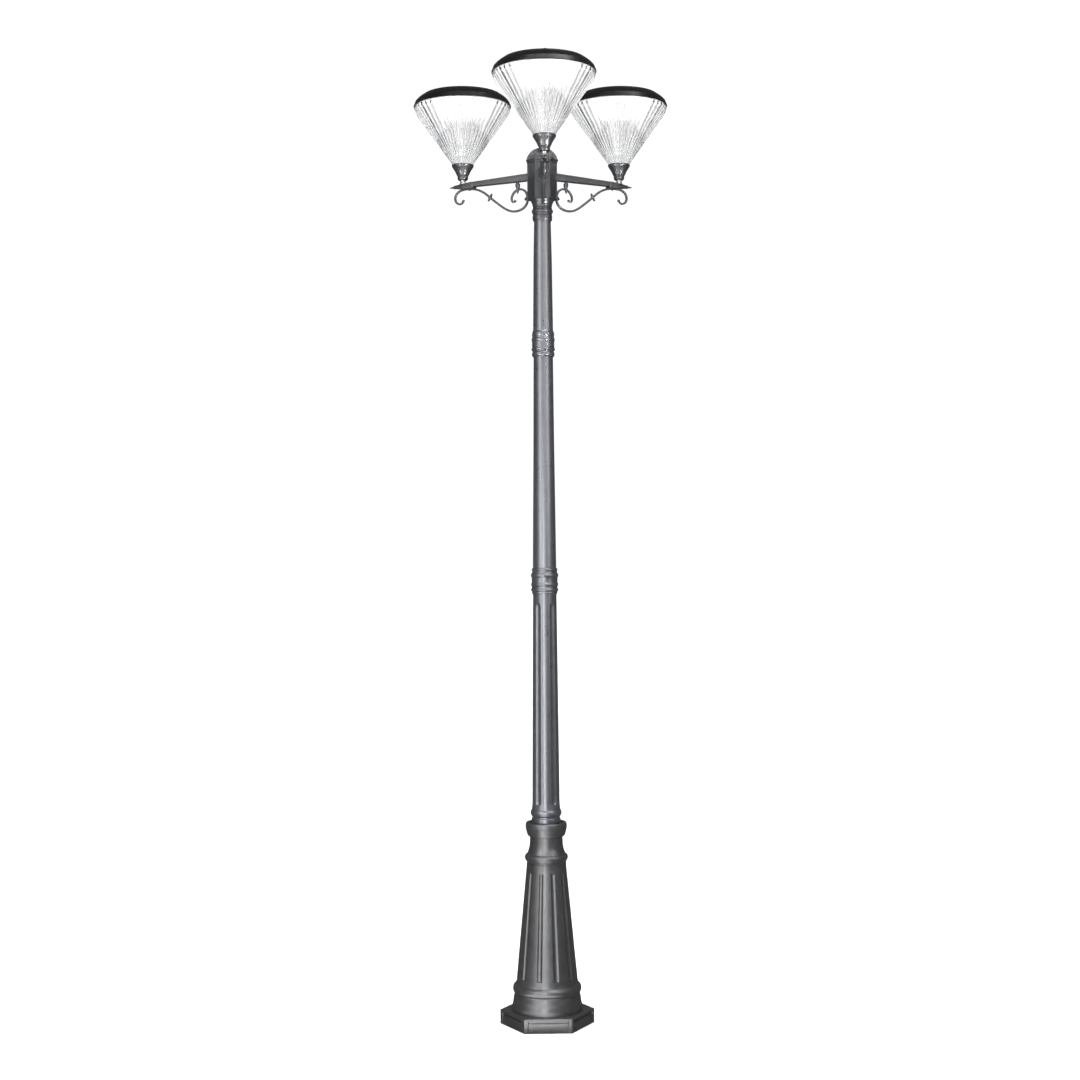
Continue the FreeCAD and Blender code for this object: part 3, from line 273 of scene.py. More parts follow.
def rounded(pts, radius, closed=False, min_turn=24.0, steps=3):
    """The same polyline with its sharp corners rounded."""
    n = len(pts)
    out = []
    for i in range(n):
        if not closed and i in (0, n - 1):
            out.append(pts[i])
            continue
        a, b, c = pts[i - 1], pts[i], pts[(i + 1) % n]
        u, v = b - a, c - b
        if u.length < 1e-9 or v.length < 1e-9:
            continue
        turn = u.angle(v)
        if math.degrees(turn) < min_turn:
            out.append(b)
            continue
        t = min(radius * math.tan(turn / 2), 0.45 * u.length, 0.45 * v.length)
        p, q = b - u.normalized() * t, b + v.normalized() * t
        for k in range(steps + 1):
            f = k / steps
            out.append(p * (1 - f) ** 2 + b * (2 * f * (1 - f)) + q * f * f)
    return out


def finish_mesh(name, verts, faces, mat, sharp=38.0, transform=None, uv=None):
    me = bpy.data.meshes.new(name)
    me.from_pydata([tuple(v) for v in verts], [], faces)
    bm = bmesh.new()
    bm.from_mesh(me)
    bmesh.ops.remove_doubles(bm, verts=bm.verts, dist=2e-6)
    bmesh.ops.dissolve_degenerate(bm, edges=bm.edges, dist=1e-6)
    bmesh.ops.recalc_face_normals(bm, faces=bm.faces)
    bm.to_mesh(me)
    bm.free()
    for p in me.polygons:
        p.use_smooth = True
    me.set_sharp_from_angle(angle=math.radians(sharp))
    if uv is not None:
        layer = me.uv_layers.new(name="local")
        for lp_ in me.loops:
            co = me.vertices[lp_.vertex_index].co
            layer.data[lp_.index].uv = uv(co)
    if transform is not None:
        me.transform(transform)
    me.materials.append(mat)
    o = bpy.data.objects.new(name, me)
    coll.objects.link(o)
    return o


def grid_faces(rows, cols, close_rows, close_cols, start=0):
    faces = []
    for i in range(rows if close_rows else rows - 1):
        a = start + i * cols
        b = start + ((i + 1) % rows) * cols
        for j in range(cols if close_cols else cols - 1):
            k = (j + 1) % cols
            faces.append((a + j, a + k, b + k, b + j))
    return faces


def lathe_data(pts, n=160, mod=None):
    """Vertices and faces of a closed profile turned round Z. mod(theta, r, z) gives the radius."""
    verts = []
    for r, z in ((p[0], p[1]) for p in pts):
        for j in range(n):
            th = 2 * math.pi * j / n
            rr = mod(th, r, z) if mod else r
            verts.append(Vector((rr * math.cos(th) * MM, rr * math.sin(th) * MM, z * MM)))
    return verts, grid_faces(len(pts), n, True, True)


def fluted_data(outer, inner, flutes, first_deg, z_range, w_of, d_of, round_ends, land=8):
    """A turned wall whose outside carries flutes. outer and inner run from the bottom to the top."""
    S = [-1.14, -1.06, -1.0, -0.93, -0.82, -0.62, -0.36, 0.0, 0.36, 0.62, 0.82, 0.93, 1.0, 1.06, 1.14]
    z0, z1 = z_range
    rows = []
    for r, z in ((p[0], p[1]) for p in outer):
        rows.append((r, z, True))
    for r, z in reversed([(p[0], p[1]) for p in inner]):
        rows.append((r, z, False))
    cols = flutes * (len(S) + land)
    verts = []
    for r, z, out in rows:
        zc = min(max(z, z0), z1)
        w, d = w_of(zc), d_of(zc)
        rho = (w * w + d * d) / (2 * d)
        scale_w, depth, rr_ = w, d, rho
        on = out and z0 < z < z1
        if on and round_ends:
            a = 0.0
            if z < z0 + w:
                a = z0 + w - z
            if z > z1 - w:
                a = z - (z1 - w)
            rr_ = math.sqrt(max(rho * rho - a * a, 1e-9))
        for f in range(flutes):
            tc = math.radians(first_deg + 360.0 * f / flutes)
            h = scale_w / max(r if out else (r + 8.0), 1.0)
            for s in S:
                dep = 0.0
                if on:
                    raw = math.sqrt(max(rr_ * rr_ - (s * w) ** 2, 0.0)) - (rho - d)
                    if rr_ * rr_ < (s * w) ** 2:
                        raw = -(rho - d)
                    dep = 0.5 * (raw + math.sqrt(raw * raw + 0.09)) if abs(s) < 1.1 else 0.0
                    if raw < -1.2:
                        dep = 0.0
                th = tc + s * h
                q = r - dep
                verts.append(Vector((q * math.cos(th) * MM, q * math.sin(th) * MM, z * MM)))
            gap0 = tc + S[-1] * h
            gap1 = tc + 2 * math.pi / flutes + S[0] * h
            for k in range(land):
                th = gap0 + (gap1 - gap0) * (k + 1) / (land + 1)
                verts.append(Vector((r * math.cos(th) * MM, r * math.sin(th) * MM, z * MM)))
    return verts, grid_faces(len(rows), cols, True, True)


def hex_perimeter(corner_r, corner_round, side_steps=1, stops=(), arc=5):
    """Points (x, y, nx, ny, s) round a hexagon with corners on +X and -X; s is the distance from the side's middle."""
    pts = []
    half = corner_r / 2
    ap = corner_r * math.cos(math.radians(30))
    cut = corner_round * math.tan(math.radians(30))
    ss = sorted(set([-(half - cut), half - cut] + [x for v in stops for x in (-v, v) if abs(v) < half - cut]))
    for k in range(6):
        ang = math.radians(30 + 60 * k)
        n = (math.cos(ang), math.sin(ang))
        t = (-n[1], n[0])
        for s in ss:
            pts.append((n[0] * ap + t[0] * s, n[1] * ap + t[1] * s, n[0], n[1], s))
        # the rounded corner that follows
        c_ang = math.radians(60 * (k + 1))
        cc = (corner_r - corner_round / math.cos(math.radians(30))) 
        cx, cy = cc * math.cos(c_ang), cc * math.sin(c_ang)
        for j in range(1, arc):
            a = ang + math.radians(60) * j / arc
            pts.append((cx + corner_round * math.cos(a), cy + corner_round * math.sin(a), math.cos(a), math.sin(a), None))
    return pts


def join_data(parts):
    verts, faces = [], []
    for v, f in parts:
        off = len(verts)
        verts += list(v)
        faces += [tuple(i + off for i in face) for face in f]
    return verts, faces


def tube_data(path, section, cap=True):
    """A closed tube: path is a list of (point, x axis, y axis), section(i) the (a, b) points of its outline."""
    verts = []
    n = None
    for i, (p, ax, ay) in enumerate(path):
        sec = section(i)
        n = len(sec)
        for a, b in sec:
            verts.append((p + ax * a + ay * b) * MM)
    faces = grid_faces(len(path), n, False, True)
    if cap:
        faces.append(tuple(reversed(range(n))))
        faces.append(tuple((len(path) - 1) * n + j for j in range(n)))
    return verts, faces


def rounded_rect(hw, hh, r, steps=4):
    r = min(r, hw * 0.98, hh * 0.98)
    pts = []
    for cx, cy, a0 in ((hw - r, hh - r, 0), (-(hw - r), hh - r, 90), (-(hw - r), -(hh - r), 180), (hw - r, -(hh - r), 270)):
        for k in range(steps + 1):
            a = math.radians(a0 + 90.0 * k / steps)
            pts.append((cx + r * math.cos(a), cy + r * math.sin(a)))
    return pts


def ellipse(ha, hb, n=20, power=2.0):
    out = []
    for k in range(n):
        a = 2 * math.pi * k / n
        c, s = math.cos(a), math.sin(a)
        out.append((ha * math.copysign(abs(c) ** (2 / power), c), hb * math.copysign(abs(s) ** (2 / power), s)))
    return out


def box_data(x0, x1, y0, y1, z0, z1, r=1.2, steps=3):
    """A box with rounded edges, built as a skin of rounded rectangles along X."""
    hx = (x1 - x0) / 2
    cx, cy, cz = (x0 + x1) / 2, (y0 + y1) / 2, (z0 + z1) / 2
    stations = []
    for k in range(steps + 1):
        a = math.radians(90.0 * k / steps)
        stations.append((x0 + r - r * math.cos(a), r - r * math.sin(a)))
    stations += [(x1 - (s - x0), i) for s, i in reversed(stations)]
    path = [(Vector((x, cy, cz)), Vector((0, 1, 0)), Vector((0, 0, 1))) for x, _ in stations]
    secs = []
    for _, inset in stations:
        hw, hh = (y1 - y0) / 2 - inset, (z1 - z0) / 2 - inset
        secs.append(rounded_rect(hw, hh, max(0.05, r - inset * 0.6), 3))
    return tube_data(path, lambda i: secs[i])


def arm_matrix(deg):
    return Matrix.Rotation(math.radians(deg), 4, "Z")


def head_matrix(deg):
    return Matrix.Rotation(math.radians(deg), 4, "Z") @ Matrix.Translation((HEAD_U, 0, 0))


def piece(o, slot_name, *nodes, body="post"):
    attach(o, body)
    if nodes:
        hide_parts(*nodes)
    return o


def cut_with(o, cutters):
    """Takes closed cutter meshes out of o, and leaves the plain result."""
    verts, faces = join_data(cutters)
    me = bpy.data.meshes.new("cutter")
    me.from_pydata([tuple(v) for v in verts], [], faces)
    bm = bmesh.new()
    bm.from_mesh(me)
    bmesh.ops.remove_doubles(bm, verts=bm.verts, dist=1e-6)
    bmesh.ops.recalc_face_normals(bm, faces=bm.faces)
    bm.to_mesh(me)
    bm.free()
    c = bpy.data.objects.new("cutter", me)
    coll.objects.link(c)
    md = o.modifiers.new("cut", "BOOLEAN")
    md.operation = "DIFFERENCE"
    md.solver = "EXACT"
    md.use_self = False
    md.object = c
    dg = bpy.context.evaluated_depsgraph_get()
    dg.update()
    new = bpy.data.meshes.new_from_object(o.evaluated_get(dg))
    old = o.data
    o.modifiers.clear()
    if len(new.polygons) > len(old.polygons) * 0.5:
        mats = [m for m in old.materials]
        name = old.name
        o.data = new
        new.materials.clear()
        for m in mats:
            new.materials.append(m)
        bpy.data.meshes.remove(old)
        new.name = name
        for p in new.polygons:
            p.use_smooth = True
        new.set_sharp_from_angle(angle=math.radians(38))
    bpy.data.objects.remove(c)
    bpy.data.meshes.remove(me)
    return o


def radial_cyl(r, z, deg, r_in, r_out, n=28):
    """A cylinder along a radius of the post."""
    d = Vector((math.cos(math.radians(deg)), math.sin(math.radians(deg)), 0))
    t = Vector((-d.y, d.x, 0))
    path = [(d * q + Vector((0, 0, z)), t, Vector((0, 0, 1))) for q in (r_in, r_out)]
    return tube_data(path, lambda i: ellipse(r, r, n))

# ---------------------------------------------------------------------------
# Foot
# ---------------------------------------------------------------------------

FOOT_R, FOOT_TOP = 162.0, 49.0
POST_S = 81.0 - 14.0


def foot_piece():
    ap = FOOT_R * math.cos(math.radians(30))
    per = hex_perimeter(FOOT_R, 3.2, stops=(POST_S + 0.8, POST_S, POST_S - 0.8, 60.0, 30.0, 0.0), arc=6)

    def inset(z, s):
        """How far the side stands back from the plain hexagon there."""
        if s is None or abs(s) > POST_S + 0.01:
            return 0.0
        edge = 0.35 if abs(s) > POST_S - 0.5 else 1.0
        g0, g1 = 33.5, 41.5
        if g0 < z < g1:
            return 6.0 * edge
        if 3.0 < z <= g0:
            base = 1.6
            if z > g0 - 2.2:
                k = (z - (g0 - 2.2)) / 2.2
                base = 1.6 + 2.0 * (1 - math.sqrt(max(0.0, 1 - k * k)))
            return base * edge
        return 0.0

    rows = []
    for z, off in ((0.0, 1.0), (0.3, 0.35), (1.0, 0.0), (2.7, 0.0), (3.3, 0.0), (12.0, 0.0), (22.0, 0.0), (31.3, 0.0), (32.0, 0.0), (32.6, 0.0), (33.1, 0.0),
                   (33.45, 0.0), (33.9, 0.0), (37.5, 0.0), (41.1, 0.0), (41.6, 0.0), (42.2, 0.0), (44.5, 0.0), (46.2, 0.1), (47.3, 0.55),
                   (48.2, 1.3), (48.75, 2.2), (49.0, 3.3)):
        rows.append((z, off))
    verts = []
    for z, off in rows:
        for x, y, nx, ny, s in per:
            d = off + inset(z, s)
            verts.append(Vector((x - nx * d, y - ny * d, z)) * MM)
    n = len(per)
    # the top runs in from the hexagon to the register ring
    last = [v.copy() for v in verts[-n:]]
    for t, ring_r in ((0.06, 108.5), (0.3, 108.5), (0.6, 108.5), (0.85, 108.5), (1.0, 108.5)):
        for v in last:
            d = Vector((v.x, v.y, 0))
            c = d.normalized() * ring_r * MM
            q = d.lerp(c, t)
            verts.append(Vector((q.x, q.y, (49.0 - 0.9 * t if t > 0.1 else 49.0) * MM)))
    tail = [(107.0, 49.0), (107.0, 65.2), (106.2, 66.0), (96.8, 66.0), (96.0, 65.2), (96.0, 12.6), (95.4, 12.0), (35.6, 12.0), (35.0, 11.4), (35.0, 0.0)]
    for r, z in tail:
        for v in last:
            a = math.atan2(v.y, v.x)
            verts.append(Vector((r * math.cos(a), r * math.sin(a), z)) * MM)
    total = len(rows) + 5 + len(tail)
    faces = grid_faces(total, n, True, True)
    o = finish_mesh("foot_casting", verts, faces, MAT["powder_cast"], sharp=50)
    cutters = []
    for k in range(4):
        a = math.radians(45 + 90 * k)
        x, y = 75 * math.cos(a), 75 * math.sin(a)
        path = [(Vector((x, y, z)), Vector((1, 0, 0)), Vector((0, 1, 0))) for z in (-2.0, 20.0)]
        cutters.append(tube_data(path, lambda i: ellipse(7.0, 7.0, 32)))
    cut_with(o, cutters)
    piece(o, "powder_coat", "base_foot")


foot_piece()

# ---------------------------------------------------------------------------
# Pedestal, cup and poles
# ---------------------------------------------------------------------------

PED_OUT = [
    [(121.0, 49.2), (121.0, 52.0)],
    [(121.0, 52.0), (119.8, 65.0), (117.4, 77.0), (116.3, 88.0)],
    [(116.3, 88.0), (114.6, 96.0), (112.7, 103.5)],
    [(112.7, 103.5), (112.7, 108.5)],
    [(112.7, 108.5), (115.3, 112.0), (117.4, 118.0), (117.6, 125.0), (115.8, 132.0), (112.0, 136.5)],
    [(112.0, 136.5), (107.5, 139.5)],
    [(107.5, 139.5), (106.0, 146.0)],
    [(106.0, 146.0), (105.2, 149.0)],
]
PED_CONE = ((105.2, 149.0), (69.7, 526.0))
PED_TOP_RUNS = [
    [(69.7, 526.0), (68.8, 533.0), (68.3, 543.0), (68.2, 551.0)],
    [(68.2, 551.0), (66.2, 552.5)],
    [(66.2, 552.5), (66.2, 556.0)],
    [(66.2, 556.0), (69.0, 557.5)],
    [(69.0, 557.5), (69.4, 560.5)],
    [(69.4, 560.5), (72.6, 564.5), (74.4, 570.5), (73.8, 576.5), (70.8, 581.5)],
    [(70.8, 581.5), (66.0, 584.0)],
    [(66.0, 584.0), (62.6, 593.0), (59.4, 603.0), (57.6, 614.0), (56.6, 626.0), (56.0, 645.0)],
    [(56.0, 645.0), (48.0, 645.0)],
]


def pedestal_piece():
    out = rounded(profile(PED_OUT), 0.8)
    za, zb = 162.0, 522.0
    (r0, q0), (r1, q1) = PED_CONE
    cone_z = [149.6, 155.0, 161.4, 162.9, 164.2, 166.5] + [172 + (514 - 172) * k / 22 for k in range(23)] + [517.5, 519.8, 521.1, 522.6]
    for z in cone_z:
        out.append(Vector((r0 + (r1 - r0) * (z - q0) / (q1 - q0), z)))
    out += rounded(profile(PED_TOP_RUNS), 0.8)
    inner = [Vector(p) for p in ((107.2, 49.2), (107.2, 112.0), (96.5, 150.0), (61.0, 510.0), (62.0, 540.0), (48.0, 592.0), (48.0, 644.4))]
    w = lambda z: 9.6 + (7.0 - 9.6) * (z - za) / (zb - za)
    d = lambda z: 4.6 + (3.8 - 4.6) * (z - za) / (zb - za)
    verts, faces = fluted_data(out, inner, 11, 90.0, (za, zb), w, d, False, land=7)
    o = finish_mesh("pedestal_casting", verts, faces, MAT["powder_cast"], sharp=44)
    cut_with(o, [radial_cyl(3.1, 58.0, a, 112, 130) for a in (60, 180, 300)] + [radial_cyl(3.1, 622.0, a, 52, 62) for a in (90, 210, 330)])
    piece(o, "powder_coat", "pedestal")


pedestal_piece()

CUP = [
    [(47.9, 596.0), (47.9, 645.0)],
    [(47.9, 645.0), (62.0, 645.0)],
    [(62.0, 645.0), (64.2, 648.0), (66.4, 654.0), (69.0, 664.0), (70.7, 671.0), (71.2, 678.0), (70.8, 685.0)],
    [(70.8, 685.0), (70.0, 689.5), (67.8, 692.0)],
    [(67.8, 692.0), (64.0, 692.0)],
    [(64.0, 692.0), (60.0, 687.5), (54.0, 684.0), (50.2, 683.0)],
    [(50.2, 683.0), (44.2, 683.0)],
    [(44.2, 683.0), (44.2, 596.0)],
]
v, f = lathe_data(rounded(profile(CUP), 0.7, closed=True), 176)
piece(finish_mesh("pedestal_cup_casting", v, f, MAT["powder_cast"], sharp=44), "powder_coat", "pedestal_cup")

LOW_FOOT = [
    [(44.0, 600.0), (44.0, 683.0)],
    [(44.0, 683.0), (50.0, 683.0)],
    [(50.0, 683.0), (50.4, 690.0), (50.2, 698.0), (49.4, 706.0)],
    [(49.4, 706.0), (47.6, 708.5)],
    [(47.6, 708.5), (47.6, 712.0)],
    [(47.6, 712.0), (50.4, 714.5)],
    [(50.4, 714.5), (52.4, 718.5), (53.4, 724.5), (52.6, 730.5), (50.6, 734.5)],
    [(50.6, 734.5), (49.0, 736.5)],
    [(49.0, 736.5), (48.1, 745.0)],
]


def low_r(z):
    if z < 768:
        return 48.1 + (46.8 - 48.1) * (1 - (1 - (z - 745.0) / 23.0) ** 2)
    return 46.8 + (40.6 - 46.8) * (z - 768.0) / 701.0


def lower_pole_piece():
    out = rounded(profile(LOW_FOOT), 0.5)
    za, zb = 752.0, 1444.0
    w0, w1, d0, d1 = 10.6, 9.4, 4.0, 3.5
    zs = [748.0, 751.0]
    zs += [za + w0 * (1 - math.cos(math.radians(a))) for a in (12, 20, 30, 42, 55, 70, 90)]
    zs += [za + 16 + (zb - za - 32) * k / 44 for k in range(45)]
    zs += [zb - w1 * (1 - math.cos(math.radians(a))) for a in (90, 70, 55, 42, 30, 20, 12)]
    zs += [1446.0, 1456.0, 1469.0, 1494.0, 1506.0, 1521.6, 1522.0]
    for z in zs:
        out.append(Vector((low_r(z) if z < 1469 else 40.6 - 0.1 * (z - 1469) / 53.0, z)))
    out[-1] = Vector((40.0, 1522.0))
    inner = [Vector(p) for p in ((39.0, 600.0), (39.0, 768.0), (33.1, 1380.0), (33.1, 1522.0))]
    w = lambda z: w0 + (w1 - w0) * (z - za) / (zb - za)
    d = lambda z: d0 + (d1 - d0) * (z - za) / (zb - za)
    verts, faces = fluted_data(out, inner, 5, 90.0, (za, zb), w, d, True, land=17)
    piece(finish_mesh("lower_pole_tube", verts, faces, MAT["powder_pole"], sharp=44), "powder_coat", "lower_pole")


lower_pole_piece()


def turned(name, runs, mat, slot_name, nodes, n=160, corner=0.45, holes=(), sharp=44, body="post"):
    v, f = lathe_data(rounded(profile(runs), corner, closed=True), n)
    o = finish_mesh(name, v, f, mat, sharp=sharp)
    if holes:
        cut_with(o, [radial_cyl(r, z, a, r_in, r_out) for r, z, a, r_in, r_out in holes])
    piece(o, slot_name, *nodes, body=body)
    return o


def fine(run, step=40.0):
    """A long straight run divided so that the mesh stays even."""
    (r0, z0), (r1, z1) = run
    n = max(1, int(abs(z1 - z0) / step))
    pts = [(r0 + (r1 - r0) * k / n, z0 + (z1 - z0) * k / n) for k in range(n + 1)]
    return [[a, b] for a, b in zip(pts[:-1], pts[1:])]


COLLAR1 = [
    [(40.7, 1476.0), (42.6, 1476.0)],
    [(42.6, 1476.0), (43.6, 1477.5), (43.9, 1480.5), (43.6, 1483.0)],
    [(43.6, 1483.0), (43.4, 1484.5)],
    [(43.4, 1484.5), (46.0, 1486.0), (47.3, 1489.5), (46.6, 1493.5), (44.4, 1496.0)],
    [(44.4, 1496.0), (44.2, 1502.0)],
    [(44.2, 1502.0), (46.1, 1504.5), (46.9, 1508.5), (46.2, 1512.5), (44.6, 1515.0)],
    [(44.6, 1515.0), (44.6, 1533.0)],
    [(44.6, 1533.0), (46.3, 1535.5), (47.2, 1540.0), (46.3, 1544.5), (44.2, 1547.0)],
    [(44.2, 1547.0), (43.6, 1550.0)],
    [(43.6, 1550.0), (42.6, 1552.0)],
    [(42.6, 1552.0), (42.6, 1555.0)],
    [(42.6, 1555.0), (43.9, 1557.0), (44.2, 1560.0), (43.4, 1563.0), (41.6, 1565.0)],
    [(41.6, 1565.0), (40.7, 1565.0)],
    [(40.7, 1565.0), (40.7, 1476.0)],
]
turned("lower_collar_ring", COLLAR1, MAT["powder_pole"], "powder_coat", ["lower_joint_collar"],
       holes=[(2.5, 1500.0, a, 42, 50) for a in (90, 210, 330)] + [(2.5, 1538.0, a + 60, 42, 50) for a in (90, 210, 330)])

MID = (fine([(40.5, 1522.0), (40.1, 1572.0)], 14) + fine([(40.1, 1572.0), (37.9, 1799.0)]) + fine([(37.9, 1799.0), (35.8, 1985.0)])
       + fine([(35.8, 1985.0), (33.5, 2287.0)]) + [[(33.5, 2287.0), (33.3, 2291.0)], [(33.3, 2291.0), (34.3, 2292.0)]]
       + fine([(34.3, 2292.0), (34.3, 2336.0)], 12) + [[(34.3, 2336.0), (29.1, 2336.0)]] + fine([(29.1, 2336.0), (29.1, 2210.0)], 60)
       + fine([(29.1, 2210.0), (33.1, 1660.0)], 90) + [[(33.1, 1660.0), (33.1, 1522.0)], [(33.1, 1522.0), (40.5, 1522.0)]])
turned("middle_pole_tube", MID, MAT["powder_pole"], "powder_coat", ["middle_pole"], n=176)

COLLAR2 = [
    [(34.4, 2291.0), (36.6, 2291.0)],
    [(36.6, 2291.0), (38.2, 2294.0), (38.9, 2299.0), (38.4, 2304.0), (37.2, 2307.0)],
    [(37.2, 2307.0), (36.4, 2309.0)],
    [(36.4, 2309.0), (36.4, 2311.0)],
    [(36.4, 2311.0), (39.4, 2312.5), (40.6, 2316.0), (39.8, 2319.5), (38.3, 2321.5)],
    [(38.3, 2321.5), (38.3, 2343.5)],
    [(38.3, 2343.5), (39.4, 2346.0), (39.9, 2350.0), (39.2, 2354.0), (37.6, 2356.5)],
    [(37.6, 2356.5), (37.4, 2361.5)],
    [(37.4, 2361.5), (38.1, 2364.0), (38.3, 2368.0), (37.6, 2373.0), (36.2, 2377.0)],
    [(36.2, 2377.0), (35.0, 2380.0)],
    [(35.0, 2380.0), (34.4, 2380.0)],
    [(34.4, 2380.0), (34.4, 2291.0)],
]
turned("upper_collar_ring", COLLAR2, MAT["powder_pole"], "powder_coat", ["upper_joint_collar"],
       holes=[(2.5, 2325.0, a, 36, 44) for a in (90, 210, 330)])

UPP = (fine([(34.3, 2336.0), (34.3, 2384.0)], 12) + [[(34.3, 2384.0), (34.09, 2402.0)], [(34.09, 2402.0), (34.03, 2407.0)], [(34.03, 2407.0), (33.93, 2415.0)], [(33.93, 2415.0), (33.87, 2420.0)]]
       + fine([(33.87, 2420.0), (33.1, 2487.0)], 22) + fine([(33.1, 2487.0), (31.5, 2630.0)]) + fine([(31.5, 2630.0), (29.0, 2744.0)], 30)
       + [[(29.0, 2744.0), (28.9, 2749.0)], [(28.9, 2749.0), (28.85, 2756.0)], [(28.85, 2756.0), (28.8, 2829.0)], [(28.8, 2829.0), (24.9, 2829.0)]]
       + fine([(24.9, 2829.0), (24.9, 2690.0)], 60) + fine([(24.9, 2690.0), (29.1, 2480.0)], 70) + [[(29.1, 2480.0), (29.1, 2336.0)], [(29.1, 2336.0), (34.3, 2336.0)]])
turned("upper_pole_tube", UPP, MAT["powder_pole"], "powder_coat", ["upper_pole"], n=176,
       holes=[(2.6, 2411.0, a, 31, 38) for a in (270, 30, 150)] + [(2.6, 2752.0, a, 27, 32) for a in (270, 30, 150)])

NECK = [
    [(28.95, 2757.0), (31.2, 2757.0)],
    [(31.2, 2757.0), (32.8, 2760.5), (33.9, 2767.0), (33.7, 2773.5), (33.2, 2776.5)],
    [(33.2, 2776.5), (32.2, 2777.5)],
    [(32.2, 2777.5), (32.2, 2779.5)],
    [(32.2, 2779.5), (33.4, 2780.5)],
    [(33.4, 2780.5), (33.6, 2784.5)],
    [(33.6, 2784.5), (36.0, 2786.5), (36.9, 2790.0), (35.9, 2794.0), (33.6, 2796.5)],
    [(33.6, 2796.5), (33.0, 2802.5)],
    [(33.0, 2802.5), (31.9, 2803.5)],
    [(31.9, 2803.5), (31.9, 2805.5)],
    [(31.9, 2805.5), (33.0, 2806.5)],
    [(33.0, 2806.5), (33.9, 2812.0), (36.2, 2819.0), (39.8, 2826.0), (41.2, 2829.0)],
    [(41.2, 2829.0), (28.95, 2829.0)],
    [(28.95, 2829.0), (28.95, 2757.0)],
]
turned("neck_collar_ring", NECK, MAT["powder_arm"], "powder_coat", ["neck_collar"])

# ---------------------------------------------------------------------------
# Hub and dome
# ---------------------------------------------------------------------------

HUB_AP = 51.5 * math.cos(math.radians(30))
HUB_FACE = HUB_AP - 1.2 * math.cos(math.radians(30))


def hex_band(corner_r, z0, z1, inner_r, edge=0.8, corner=1.6):
    """A hexagonal ring with rounded edges and a round hole."""
    per = hex_perimeter(corner_r, corner, stops=(0.0, corner_r * 0.25), arc=5)
    rows = [(z0, edge), (z0 + edge * 0.3, edge * 0.3), (z0 + edge, 0.0), (z1 - edge, 0.0), (z1 - edge * 0.3, edge * 0.3), (z1, edge)]
    verts = []
    for z, off in rows:
        for x, y, nx, ny, s in per:
            verts.append(Vector((x - nx * off, y - ny * off, z)) * MM)
    for z in (z1, z0):
        for x, y, nx, ny, s in per:
            a = math.atan2(y, x)
            verts.append(Vector((inner_r * math.cos(a), inner_r * math.sin(a), z)) * MM)
    return verts, grid_faces(len(rows) + 2, len(per), True, True)


def hub_piece():
    parts = [hex_band(50.3, 2829.0, 2962.0, 37.0, 0.4, 1.0),
             hex_band(53.0, 2955.0, 2962.0, 37.0, 1.1, 2.2),
             hex_band(52.1, 2829.0, 2833.6, 37.0, 1.0, 2.0)]
    for k in range(6):
        a = math.radians(60 * k)
        c = Vector((49.1 * math.cos(a), 49.1 * math.sin(a), 0))
        path = [(c + Vector((0, 0, z)), Vector((1, 0, 0)), Vector((0, 1, 0))) for z in (2830.0, 2870.0, 2910.0, 2958.0)]
        parts.append(tube_data(path, lambda i: ellipse(2.5, 2.5, 20)))
    # the bottom plate, the sleeve's boss and the bridge under the dome
    v, f = lathe_data(rounded([Vector(p) for p in ((24.9, 2829.2), (38.5, 2829.2), (38.5, 2839.0), (31.0, 2839.0), (31.0, 2868.0), (24.9, 2868.0))], 0.6, closed=True), 72)
    parts.append((v, f))
    parts.append(box_data(-38.0, 38.0, -9.0, 9.0, 2951.0, 2957.0, 1.0))
    v, f = join_data(parts)
    o = finish_mesh("hub_casting", v, f, MAT["powder_arm"], sharp=44)
    piece(o, "powder_coat", "hub_body")

    rows = [(49.0, 2962.0), (54.2, 2962.0), (55.2, 2962.4), (55.9, 2964.2), (56.0, 2966.2), (55.4, 2968.6), (54.4, 2969.8), (53.6, 2970.3), (53.2, 2971.2),
            (52.9, 2973.0), (52.3, 2975.3), (51.3, 2978.2), (49.9, 2981.4), (48.1, 2984.6), (45.9, 2987.7), (43.3, 2990.9), (40.4, 2994.0),
            (37.0, 2997.2), (33.2, 3000.3), (29.0, 3003.0), (24.4, 3005.4), (19.2, 3007.3), (13.6, 3008.6), (8.0, 3009.0),
            (3.3, 3009.0), (3.3, 3004.5), (20.0, 3002.0), (30.0, 2997.5), (40.0, 2988.0), (46.5, 2978.0), (48.6, 2970.0)]
    n_arc = 6
    verts = []
    count = None
    for r, z in rows:
        cr = min(2.6, max(0.4, r * 0.06)) if r > 9 else r * 0.7
        if r <= 9:
            per = [(r * math.cos(a), r * math.sin(a)) for a in [2 * math.pi * k / count for k in range(count)]]
            # start where the hexagon's first side starts
            shift = math.atan2(first[1], first[0])
            per = [(r * math.cos(shift + 2 * math.pi * k / count), r * math.sin(shift + 2 * math.pi * k / count)) for k in range(count)]
        else:
            per = [(p[0], p[1]) for p in hex_perimeter(r, cr, stops=(0.0, r * 0.2, r * 0.36), arc=n_arc)]
            first = per[0]
            count = len(per)
        for x, y in per:
            verts.append(Vector((x, y, z)) * MM)
    o = finish_mesh("hub_dome_cover", verts, grid_faces(len(rows), count, True, True), MAT["powder_arm"], sharp=60)
    piece(o, "powder_coat", "hub_dome")


